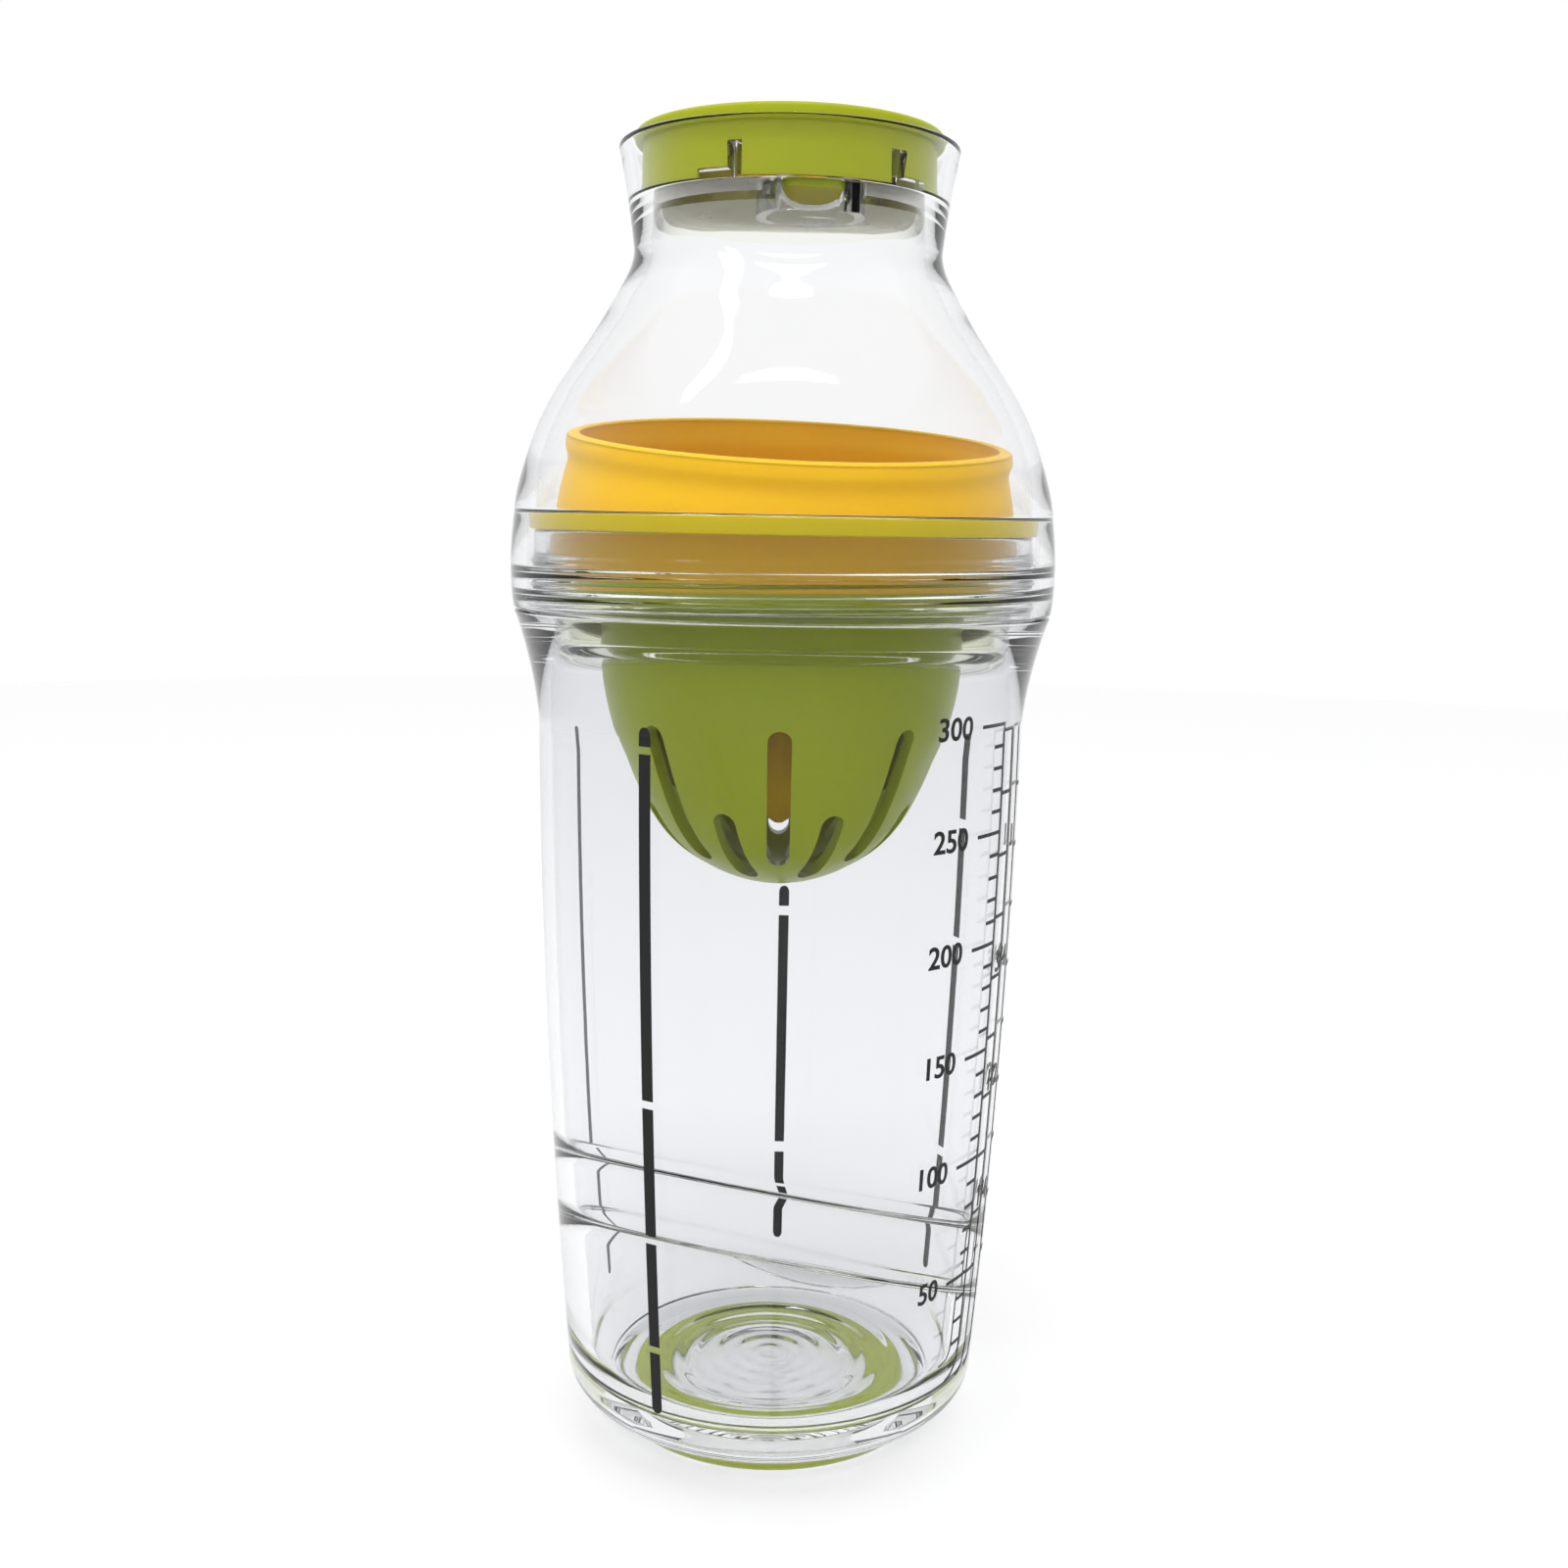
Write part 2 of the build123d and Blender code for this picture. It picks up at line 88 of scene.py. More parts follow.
TOE_SWEEP, TOE_WIDE, TOE_HIGH = 13.0, 1.2, 1.1

# Screw threads
THREAD_PITCH, THREAD_WIDE, THREAD_HIGH = 2.9, 1.5, 0.45
NECK_THREAD = (120.0, 127.6, 126.6)       # from, to, and a ridge's height at the front
LID_THREAD = (120.4, 126.3, 125.1)


# ------------------------------------------------------------------ sizes and colours
class ShakerColours(PropertyGroup):
    lime: FloatVectorProperty(name="Lime", description="Moulded lime plastic of the strainer",
                              subtype="COLOR", size=3, default=(0.32, 0.385, 0.002))
    lime_bright: FloatVectorProperty(name="Bright lime", description="Stopper, seal and grip ring",
                                     subtype="COLOR", size=3, default=(0.375, 0.42, 0.002))
    seal: FloatVectorProperty(name="Seal", description="Yellow-green joint seal", subtype="COLOR", size=3,
                              default=(0.60, 0.475, 0.003))
    yellow: FloatVectorProperty(name="Yellow", description="Silicone of the reamer cup",
                                subtype="COLOR", size=3, default=(0.88, 0.53, 0.001))
    clear: FloatVectorProperty(name="Clear", description="Clear plastic looked at square on",
                               subtype="COLOR", size=3, default=(0.984, 0.985, 0.987))
    clear_body: FloatVectorProperty(name="Clear bottle", description="Thicker clear plastic of the bottle",
                                    subtype="COLOR", size=3, default=(0.885, 0.892, 0.905))
    # Painted shade: the grey given to clear plastic where the eye runs along its wall, for the dark edge lines.
    clear_edge_shade: FloatVectorProperty(name="Clear edge", description="Clear plastic looked at along its wall",
                                    subtype="COLOR", size=3, default=(0.64, 0.665, 0.71))
    pan: FloatVectorProperty(name="Pan", description="Thin pale wall of the strainer's pan", subtype="COLOR",
                             size=3, default=(0.96, 0.97, 0.84))
    deck: FloatVectorProperty(name="Deck", description="Pale deck under the stopper", subtype="COLOR", size=3,
                              default=(0.985, 0.99, 0.925))
    ink: FloatVectorProperty(name="Ink", description="Printed scale", subtype="COLOR", size=3,
                             default=(0.005, 0.005, 0.005))
    haze: FloatProperty(name="Reflection", description="Share of the clear plastic's reflection square on",
                        default=0.25, min=0.0, max=1.0)


class ShakerSizes(PropertyGroup):
    steps: IntProperty(name="Steps", description="Steps of a turned piece", default=160, min=32, max=256)
    ink_film: FloatProperty(name="Ink film", description="Thickness of the printed ink", unit="LENGTH",
                            default=0.06 * MM, precision=5)
    bar_width: FloatProperty(name="Bar width", description="Width of the printed bars", unit="LENGTH",
                             default=1.7 * MM, precision=4)
    digit_height: FloatProperty(name="Digit height", description="Height of the scale's numbers",
                                unit="LENGTH", default=3.0 * MM, precision=4)


class ShakerStage(PropertyGroup):
    floor: FloatVectorProperty(name="Floor", description="Colour of the floor", subtype="COLOR", size=3,
                               default=(0.97, 0.97, 0.97))
    lamp: FloatProperty(name="Lamps", description="Strength of the soft lamps", default=1.0, min=0.0)
    world: FloatProperty(name="World", description="Strength of the light from all round", default=0.8)


# ------------------------------------------------------------------ outlines
def circle_through(a, b, c):
    """Centre and radius of the circle through three points."""
    (ax, ay), (bx, by), (cx, cy) = a, b, c
    d = 2 * (ax * (by - cy) + bx * (cy - ay) + cx * (ay - by))
    aa, bb, cc = ax * ax + ay * ay, bx * bx + by * by, cx * cx + cy * cy
    x = (aa * (by - cy) + bb * (cy - ay) + cc * (ay - by)) / d
    y = (aa * (cx - bx) + bb * (ax - cx) + cc * (bx - ax)) / d
    return (x, y), hypot(ax - x, ay - y)


def arc(a, b, c, steps):
    """Points on the arc from a through b to c."""
    (x, y), radius = circle_through(a, b, c)
    angles = [atan2(p[1] - y, p[0] - x) for p in (a, b, c)]
    sweep = (angles[2] - angles[0]) % (2 * pi)
    if (angles[1] - angles[0]) % (2 * pi) > sweep:
        sweep -= 2 * pi
    return [(x + radius * cos(angles[0] + sweep * k / steps),
             y + radius * sin(angles[0] + sweep * k / steps)) for k in range(steps + 1)]


def bowed(a, b, bow, steps):
    """An arc from a to b whose middle stands a bow further out than the chord's."""
    return arc(a, ((a[0] + b[0]) / 2 + bow, (a[1] + b[1]) / 2), b, steps)


def curve(points, first, last, steps):
    """A smooth curve through points, leaving along first and arriving along last."""
    tangents = [first]
    for before, after in zip(points, points[2:]):
        tangents.append(((after[0] - before[0]) / 2, (after[1] - before[1]) / 2))
    tangents.append(last)
    line = [points[0]]
    for (p, m), (q, n) in zip(zip(points, tangents), zip(points[1:], tangents[1:])):
        for k in range(1, steps + 1):
            t = k / steps
            h = (2 * t ** 3 - 3 * t ** 2 + 1, t ** 3 - 2 * t ** 2 + t, 3 * t ** 2 - 2 * t ** 3, t ** 3 - t ** 2)
            line.append(tuple(h[0] * p[i] + h[1] * m[i] + h[2] * q[i] + h[3] * n[i] for i in (0, 1)))
    return line


def stretch(a, b, steps):
    """Evenly spaced points from a to b."""
    return [(a[0] + (b[0] - a[0]) * k / steps, a[1] + (b[1] - a[1]) * k / steps) for k in range(steps + 1)]


def rounded(corner, before, after, size, steps=4):
    """The points of a rounded corner, between the straight lines from before and to after."""
    def towards(p):
        long = hypot(p[0] - corner[0], p[1] - corner[1])
        return tuple(corner[i] + (p[i] - corner[i]) * size / long for i in (0, 1))
    a, c = towards(before), towards(after)
    points = []
    for k in range(steps + 1):
        t = k / steps
        points.append(tuple((1 - t) ** 2 * a[i] + 2 * t * (1 - t) * corner[i] + t * t * c[i] for i in (0, 1)))
    return points


def path(*stretches):
    """One outline from several stretches, without the points that repeat."""
    line = []
    for piece in stretches:
        for point in (piece if isinstance(piece, list) else [piece]):
            if not line or hypot(point[0] - line[-1][0], point[1] - line[-1][1]) > 1e-4:
                line.append(point)
    return line


# ------------------------------------------------------------------ modelling by hand
def deselect():
    if bpy.context.object and bpy.context.object.mode != "OBJECT":
        bpy.ops.object.mode_set(mode="OBJECT")
    bpy.ops.object.select_all(action="DESELECT")


def activate(piece):
    deselect()
    piece.select_set(True)
    bpy.context.view_layer.objects.active = piece


def turned(name, outline, steps=None, sweep=2 * pi, closed=False):
    """Extrude a vertex along an outline and spin it about the vertical axis."""
    deselect()
    bpy.ops.mesh.primitive_plane_add(size=MM, location=(0, 0, 0))
    piece = bpy.context.object
    piece.name = name
    bpy.ops.object.mode_set(mode="EDIT")
    bpy.ops.mesh.select_all(action="SELECT")
    bpy.ops.mesh.merge(type="CENTER")
    bpy.ops.transform.translate(value=(outline[0][0] * MM, 0, outline[0][1] * MM))
    for a, b in zip(outline, outline[1:] + (outline[:1] if closed else [])):
        move = {"value": ((b[0] - a[0]) * MM, 0, (b[1] - a[1]) * MM)}
        bpy.ops.mesh.extrude_region_move(TRANSFORM_OT_translate=move)
    bpy.ops.mesh.select_all(action="SELECT")
    bpy.ops.mesh.remove_doubles(threshold=FINE)
    steps = steps or bpy.context.scene.shaker_sizes.steps
    bpy.ops.mesh.spin(steps=steps, angle=-sweep, center=(0, 0, 0), axis=(0, 0, 1))
    bpy.ops.mesh.select_all(action="SELECT")
    bpy.ops.mesh.remove_doubles(threshold=FINE)
    if sweep < 2 * pi:
        bpy.ops.mesh.select_all(action="DESELECT")
        bpy.ops.mesh.select_non_manifold()
        bpy.ops.mesh.edge_face_add()
        bpy.ops.mesh.select_all(action="SELECT")
    bpy.ops.mesh.normals_make_consistent(inside=False)
    bpy.ops.object.mode_set(mode="OBJECT")
    return piece


def reshape(piece, rule):
    """Move each vertex by a rule on (radius, height, angle from the front) in millimetres."""
    for v in piece.data.vertices:
        r, z = hypot(v.co.x, v.co.y) / MM, v.co.z / MM
        angle = atan2(v.co.x, -v.co.y)
        r, z = rule(r, z, angle)
        v.co = Vector((r * sin(angle), -r * cos(angle), z)) * MM
    piece.data.update()


def modifier(piece, kind, **settings):
    """Add a modifier and apply it."""
    activate(piece)
    bpy.ops.object.modifier_add(type=kind)
    added = piece.modifiers[-1]
    for key, value in settings.items():
        setattr(added, key, value)
    bpy.ops.object.modifier_apply(modifier=added.name)


def combine(piece, tool, operation):
    """Join a tool to a piece or cut it away, and remove the tool."""
    modifier(piece, "BOOLEAN", operation=operation, object=tool, solver="EXACT")
    bpy.data.objects.remove(tool)


def joined(pieces):
    """Several objects as one."""
    deselect()
    for piece in pieces:
        piece.select_set(True)
    bpy.context.view_layer.objects.active = pieces[0]
    bpy.ops.object.join()
    return pieces[0]


def placed(piece, matrix):
    """Move a piece's mesh, and leave its object at the origin."""
    piece.data.transform(matrix)
    piece.matrix_world = Matrix.Identity(4)
    piece.data.update()
    return piece


def about(clock, offset=0.0, height=0.0):
    """A place turned from the front towards +X, at a distance from the axis, in millimetres."""
    return Matrix.Rotation(radians(clock), 4, "Z") @ Matrix.Translation(Vector((0, -offset, height)) * MM)


def finished(piece, body, material, replaces=None, angle=32.0):
    """Shade a piece, give it its material and put it on its body."""
    activate(piece)
    bpy.ops.object.shade_smooth_by_angle(angle=radians(angle))
    piece.data.materials.clear()
    piece.data.materials.append(material)
    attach(piece, body)
    if replaces:
        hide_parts(replaces)
    return piece


# ------------------------------------------------------------------ materials
def new_material(name):
    mat = bpy.data.materials.new(name)
    mat.use_nodes = True
    return mat, mat.node_tree.nodes, mat.node_tree.links, mat.node_tree.nodes["Principled BSDF"]


def noise_on(nodes, links, scale, detail=3.0):
    """A noise in the object's own coordinates."""
    place = nodes.new("ShaderNodeTexCoord")
    noise = nodes.new("ShaderNodeTexNoise")
    noise.inputs["Scale"].default_value = scale
    noise.inputs["Detail"].default_value = detail
    links.new(place.outputs["Object"], noise.inputs["Vector"])
    return noise.outputs["Fac"]


def between(nodes, links, source, low, high):
    """A number that runs from low to high with source."""
    ramp = nodes.new("ShaderNodeMapRange")
    ramp.inputs["To Min"].default_value = low
    ramp.inputs["To Max"].default_value = high
    links.new(source, ramp.inputs["Value"])
    return ramp.outputs["Result"]


def bump(nodes, links, source, strength, depth):
    """A bump from a height source."""
    node = nodes.new("ShaderNodeBump")
    node.inputs["Strength"].default_value = strength
    node.inputs["Distance"].default_value = depth
    links.new(source, node.inputs["Height"])
    return node.outputs["Normal"]


def blended(nodes, links, source, first, second):
    """A colour between two, by source."""
    mix = nodes.new("ShaderNodeMix")
    mix.data_type = "RGBA"
    links.new(source, mix.inputs["Factor"])
    mix.inputs["A"].default_value = (*first, 1)
    mix.inputs["B"].default_value = (*second, 1)
    return mix.outputs["Result"]


def clear_plastic(name, face=None, edge=None, roughness=0.03, ior=1.47):
    """Clear moulded plastic: bright square on, with a painted grey shade where the eye runs along its wall."""
    colours = bpy.context.scene.shaker_colours
    face, edge = face or colours.clear, edge or colours.clear_edge_shade
    mat, nodes, links, shader = new_material(name)
    shader.inputs["Transmission Weight"].default_value = 1.0
    shader.inputs["IOR"].default_value = ior
    shader.inputs["Specular Tint"].default_value = (colours.haze, colours.haze, colours.haze, 1)
    # Painted shade: the Layer Weight facing, raised to a power, mixes the face colour towards the grey edge colour.
    facing = nodes.new("ShaderNodeLayerWeight")
    facing.inputs["Blend"].default_value = 0.5
    edge_shade_power = nodes.new("ShaderNodeMath")
    edge_shade_power.operation = "POWER"
    edge_shade_power.inputs[1].default_value = 4.5
    links.new(facing.outputs["Facing"], edge_shade_power.inputs[0])
    edge_shaded_tint = blended(nodes, links, edge_shade_power.outputs[0], face, edge)
    links.new(edge_shaded_tint, shader.inputs["Base Color"])
    flow = noise_on(nodes, links, 60.0)
    links.new(between(nodes, links, flow, 0.0, roughness), shader.inputs["Roughness"])
    links.new(bump(nodes, links, flow, 0.02, 0.3 * MM), shader.inputs["Normal"])
    through = nodes.new("ShaderNodeBsdfTransparent")
    through.inputs["Color"].default_value = (0.98, 0.98, 0.98, 1)
    ray = nodes.new("ShaderNodeLightPath")
    choose = nodes.new("ShaderNodeMixShader")
    links.new(ray.outputs["Is Shadow Ray"], choose.inputs["Fac"])
    links.new(shader.outputs["BSDF"], choose.inputs[1])
    links.new(through.outputs["BSDF"], choose.inputs[2])
    links.new(choose.outputs["Shader"], nodes["Material Output"].inputs["Surface"])
    return mat


def moulded(name, colour, second, roughness, soft=0.0, depth=1.5, grain=900.0, grain_bump=0.08, coat=0.0):
    """Moulded plastic or silicone: a slow drift of colour, a fine grain and a soft depth."""
    mat, nodes, links, shader = new_material(name)
    drift = noise_on(nodes, links, 28.0, 2.0)
    links.new(blended(nodes, links, drift, colour, second), shader.inputs["Base Color"])
    fine = noise_on(nodes, links, grain, 4.0)
    links.new(between(nodes, links, fine, roughness - 0.05, roughness + 0.06), shader.inputs["Roughness"])
    links.new(bump(nodes, links, fine, grain_bump, 0.05 * MM), shader.inputs["Normal"])
    shader.inputs["Specular IOR Level"].default_value = 0.2
    shader.inputs["Subsurface Weight"].default_value = soft
    shader.inputs["Subsurface Radius"].default_value = (1.0, 0.9, 0.15)
    shader.inputs["Subsurface Scale"].default_value = depth * MM
    shader.inputs["Coat Weight"].default_value = coat
    return mat


def shade_of(colour, factor):
    return tuple(min(1.0, c * factor) for c in colour)


def ink_material():
    colours = bpy.context.scene.shaker_colours
    return moulded("screen_ink", colours.ink, shade_of(colours.ink, 2.2), 0.4, grain=2500.0)


# ------------------------------------------------------------------ bottle
def wall_radius(z):
    """Outer radius of the bottle's tapered wall at a height."""
    middle = ((WALL_BASE[0] + WALL_TOP[0]) / 2 + WALL_BULGE, (WALL_BASE[1] + WALL_TOP[1]) / 2)
    (x, y), radius = circle_through(WALL_BASE, middle, WALL_TOP)
    return x + sqrt(radius * radius - (z - y) ** 2)


def inner_radius(z, wall):
    """Inner radius at a height for one wall thickness, with the round corner at the floor."""
    bend = FLOOR_Z + FLOOR_ROUND
    if z >= bend:
        return wall_radius(z) - wall
    z = max(z, FLOOR_Z)
    return wall_radius(bend) - wall - FLOOR_ROUND + sqrt(max(0.0, FLOOR_ROUND ** 2 - (bend - z) ** 2))


def ledge_height(z, angle):
    """Height of a slanted mixing ledge's edge at an angle from the front."""
    reach = wall_radius((UPPER_MIX_Z + LOWER_MIX_Z) / 2) - WALL
    return z + tan(radians(MIX_TILT)) * reach * cos(angle - radians(MIX_HIGH))


def wall_at(z):
    """Thickness of the inner wall at a height: it steps in at each mixing ledge, in a soft S."""
    wall = WALL
    for ledge in (UPPER_MIX_Z, LOWER_MIX_Z):
        t = min(1.0, max(0.0, (ledge + MIX_SOFT - z) / (2 * MIX_SOFT)))
        wall += MIX_STEP * t * t * (3 - 2 * t)
    return wall


def inner_wall():
    """The inner wall from the floor's corner up past the mixing ledges."""
    stops = ((FLOOR_Z, LOWER_MIX_Z - MIX_SOFT, 20), (LOWER_MIX_Z - MIX_SOFT, LOWER_MIX_Z + MIX_SOFT, 9),
             (LOWER_MIX_Z + MIX_SOFT, UPPER_MIX_Z - MIX_SOFT, 6),
             (UPPER_MIX_Z - MIX_SOFT, UPPER_MIX_Z + MIX_SOFT, 9), (UPPER_MIX_Z + MIX_SOFT, MIX_TOP_Z, 10))
    line = []
    for low, high, rows in stops:
        for k in range(rows):
            share = (k / rows) ** (1.8 if low == FLOOR_Z else 1)
            z = low + (high - low) * share
            line.append((inner_radius(z, wall_at(z)), z))
    return line


def slant(r, z, angle):
    """Tilt the mixing ledges, and let the inner wall's rows between them follow."""
    if not FLOOR_Z + 1e-3 < z < MIX_TOP_Z - 1e-3 or r < 10 or wall_radius(max(z, WALL_BASE[1])) - r < 1.2:
        return r, z
    flat = (FLOOR_Z, LOWER_MIX_Z - MIX_SOFT, LOWER_MIX_Z + MIX_SOFT, UPPER_MIX_Z - MIX_SOFT,
            UPPER_MIX_Z + MIX_SOFT, MIX_TOP_Z)
    rise = ledge_height(0.0, angle)
    tilted = (FLOOR_Z, *(height + rise for height in flat[1:-1]), MIX_TOP_Z)
    for k in range(5):
        if flat[k] <= z <= flat[k + 1] + 1e-6:
            new_z = tilted[k] + (tilted[k + 1] - tilted[k]) * (z - flat[k]) / (flat[k + 1] - flat[k])
            return inner_radius(new_z, wall_at(z)), new_z
    return r, z


def ripple(r, z, angle):
    """Slow rings in the inner floor, as moulded floors have."""
    if abs(z - FLOOR_Z) > 1e-3 or r > FLOOR_FLAT:
        return r, z
    fade = min(1.0, (FLOOR_FLAT - r) / 1.5) * (0.35 + 0.65 * (r / FLOOR_FLAT) ** 2)
    return r, z + RIPPLE * fade * sin(2 * pi * r / RIPPLE_WAVE)


def thread_rule(radius, span, height, inwards):
    """A rule that raises a round screw thread from a wall of one radius."""
    def rule(r, z, angle):
        if abs(r - radius) > 0.02 or not span[0] < z < span[1]:
            return r, z
        turn = (z - span[2]) / THREAD_PITCH - angle / (2 * pi)
        near = abs((turn + 0.5) % 1 - 0.5) * THREAD_PITCH / (THREAD_WIDE / 2)
        ridge = cos(near * pi / 2) ** 2 if near < 1 else 0.0
        ends = min(1.0, (z - span[0]) / 0.8, (span[1] - z) / 0.8)
        return r + (-1 if inwards else 1) * height * ridge * ends, z
    return rule


def make_bottle():
    """The clear bottle, its threaded neck and its slanted mixing ledges."""
    colours = bpy.context.scene.shaker_colours
    corner = ((CREASE[0] + WALL_BASE[0]) / 2 + CORNER_BULGE, (CREASE[1] + WALL_BASE[1]) / 2 - CORNER_BULGE)
    floor_edge = inner_radius(FLOOR_Z, wall_at(FLOOR_Z))
    shelf_in, rim_out = (NECK_R, SHELF[1]), (NECK_R, RIM_Z)
    rim_in = (MOUTH_R, RIM_Z)
    ledge_out, ledge_in = (MOUTH_R, LEDGE_Z), (BORE_R, LEDGE_Z)
    outline = path(
        stretch((0, DIMPLE_Z), (DIMPLE_R - 0.4, DIMPLE_Z), 6),
        rounded((DIMPLE_R, DIMPLE_Z), (0, DIMPLE_Z), (DIMPLE_R, RECESS_Z), 0.3),
        stretch((DIMPLE_R, RECESS_Z), (RECESS_R, RECESS_Z), 6),
        stretch((RECESS_R, RECESS_Z), (RECESS_R, FOOT_EDGE[1] + 0.3), 2),
        rounded((RECESS_R, FOOT_EDGE[1]), (RECESS_R, RECESS_Z), FOOT_EDGE, 0.3),
        rounded(FOOT_EDGE, (RECESS_R, FOOT_EDGE[1]), CREASE, 1.2),
        rounded(CREASE, FOOT_EDGE, corner, 0.3),
        arc(CREASE, corner, WALL_BASE, 12)[1:],
        bowed(WALL_BASE, WALL_TOP, WALL_BULGE, 40),
        bowed(WALL_TOP, SHELF, -SHOULDER_HOLLOW, 16)[:-1],
        rounded(SHELF, WALL_TOP, shelf_in, 0.35),
        rounded(shelf_in, SHELF, rim_out, 0.3),
        stretch((NECK_R, SHELF[1] + 0.4), (NECK_R, RIM_Z - 0.8), 60),
        rounded(rim_out, shelf_in, rim_in, 0.5),
        rounded(rim_in, rim_out, ledge_out, 0.5),
        stretch((MOUTH_R, RIM_Z - 0.8), (MOUTH_R, LEDGE_Z + 0.3), 6),
        rounded(ledge_out, rim_in, ledge_in, 0.2),
        rounded(ledge_in, ledge_out, (BORE_R, WALL_TOP[1]), 0.2),
        stretch((BORE_R, LEDGE_Z - 0.4), (BORE_R, WALL_TOP[1] + 0.5), 6),
        [(wall_radius(z) - WALL, z) for z in
         [WALL_TOP[1] - (WALL_TOP[1] - MIX_TOP_Z) * k / 16 for k in range(16)]],
        inner_wall()[::-1],
        stretch((floor_edge, FLOOR_Z), (0, FLOOR_Z), 48),
    )
    bottle = turned("bottle_shell", outline)
    reshape(bottle, slant)
    reshape(bottle, ripple)
    reshape(bottle, thread_rule(NECK_R, NECK_THREAD, THREAD_HIGH, inwards=False))
    return finished(bottle, "bottle", clear_plastic("clear_bottle_plastic", colours.clear_body), "bottle_body", 75.0)


# ------------------------------------------------------------------ lid
def make_lid():
    """The clear lid: threaded skirt, dome, flared collar, deck, pour hole, spout and guide fins."""
    first, last = (-0.3, 7.5), (-1.2, 10.5)
    outer = curve(list(DOME), first, (-0.2, 8.0), 12)
    inner = [(PRESS_R, PRESS_Z)] + [(r - DOME_WALL, z) for r, z in DOME[1:]]
    inner = curve(inner, first, (-0.2, 8.0), 12)
    waist, collar = DOME[-1], COLLAR_TOP
    collar_in = (collar[0] - COLLAR_WALL, collar[1])
    skirt, skirt_in = (SKIRT_R, SKIRT_Z), (LID_BORE, SKIRT_Z)
    bore_top, press = (LID_BORE, PRESS_Z), (PRESS_R, PRESS_Z)
    under = DECK_Z - DECK
    waist_in = waist[0] - DOME_WALL
    pocket = (POCKET_R, DECK_Z)
    outline = path(
        (waist_in, DECK_Z),
        rounded(pocket, (waist_in, DECK_Z), collar_in, 0.5),
        stretch(pocket, collar_in, 8)[1:-1],
        rounded(collar_in, pocket, collar, 0.4),
        rounded(collar, collar_in, waist, 0.4),
        bowed(collar, waist, -COLLAR_HOLLOW, 12)[1:],
        outer[::-1],
        bowed(DOME[0], skirt, SKIRT_BULGE, 10)[:-1],
        rounded(skirt, DOME[0], skirt_in, 0.35),
        rounded(skirt_in, skirt, bore_top, 0.3),
        stretch((LID_BORE, SKIRT_Z + 0.4), (LID_BORE, PRESS_Z - 0.4), 72),
        rounded(bore_top, skirt_in, press, 0.25),
        rounded(press, bore_top, inner[1], 0.3),
        inner[1:],
        stretch((waist_in, waist[1]), (waist_in, under - HAUNCH[1]), 4),
    )
    lid = turned("dome_shell", outline, closed=True)
    reshape(lid, thread_rule(LID_BORE, LID_THREAD, THREAD_HIGH, inwards=True))
    spout = turned("spout", path(
        (POUR_R - 0.5, DECK_Z - 0.02), (POUR_R - 0.5, DECK_Z - SPOUT_DROP),
        (POUR_R + SPOUT_WALL, DECK_Z - SPOUT_DROP), (POUR_R + SPOUT_WALL, DECK_Z - 0.02)),
        steps=48, closed=True)
    additions = [placed(spout, about(POUR_CLOCK, POUR_AT)), *pour_guide(-1), *pour_guide(1)]
    for addition in additions:
        combine(lid, addition, "UNION")
    hole = turned("hole", path((0, DECK_Z - SPOUT_DROP - 1), (POUR_R, DECK_Z - SPOUT_DROP - 1),
                               (POUR_R, DECK_Z + 1), (0, DECK_Z + 1)), steps=64)
    combine(lid, placed(hole, about(POUR_CLOCK, POUR_AT)), "DIFFERENCE")
    finished(lid, "lid", clear_plastic("clear_lid_plastic"), "dome_lid", 60.0)
    return make_deck(waist_in - 0.02, under)


def make_deck(edge, under):
    """The pale deck across the lid's waist, with a hole for the spout."""
    shoulder = (edge, under - HAUNCH[1])
    deck = turned("pour_deck", path(
        stretch((0, DECK_Z), (edge, DECK_Z), 8), stretch((edge, DECK_Z), shoulder, 3)[1:],
        (edge - HAUNCH[0], under), (0, under)))
    gap = POUR_R + SPOUT_WALL + 0.02
    hole = turned("spout_hole", path((0, under - 2), (gap, under - 2), (gap, DECK_Z + 1), (0, DECK_Z + 1)), steps=64)
    combine(deck, placed(hole, about(POUR_CLOCK, POUR_AT)), "DIFFERENCE")
    colours = bpy.context.scene.shaker_colours
    # The deck's edge colour, 0.93 of its face, is painted shade where the eye runs along it.
    pale = clear_plastic("pale_deck_plastic", colours.deck, shade_of(colours.deck, 0.93), 0.45, 1.12)
    return finished(deck, "lid", pale)


def pour_guide(side):
    """A fin beside the pour hole, and the low toe that leads away from it."""
    root = POCKET_R + COLLAR_WALL / 2
    deselect()
    middle = Vector((0, -(FIN_IN + root) / 2, DECK_Z + FIN_HIGH / 2 + 0.02)) * MM
    bpy.ops.mesh.primitive_cube_add(size=1, location=middle)
    fin = bpy.context.object
    fin.scale = Vector((FIN_THICK, root - FIN_IN, FIN_HIGH)) * MM
    bpy.ops.object.transform_apply(location=True, rotation=True, scale=True)
    modifier(fin, "BEVEL", width=0.25 * MM, segments=3)
    inner = POCKET_R - TOE_WIDE
    low, high = DECK_Z + 0.02, DECK_Z + TOE_HIGH
    toe = turned("toe", path((inner, low), (inner, high), (root, high), (root, low)), steps=8,
                 sweep=radians(TOE_SWEEP), closed=True)
    clock = POUR_CLOCK + side * FIN_CLOCK
    start = -90 if side > 0 else -90 - TOE_SWEEP
    placed(fin, Matrix.Rotation(radians(clock), 4, "Z"))
    placed(toe, Matrix.Rotation(radians(clock + start), 4, "Z"))
    return fin, toe


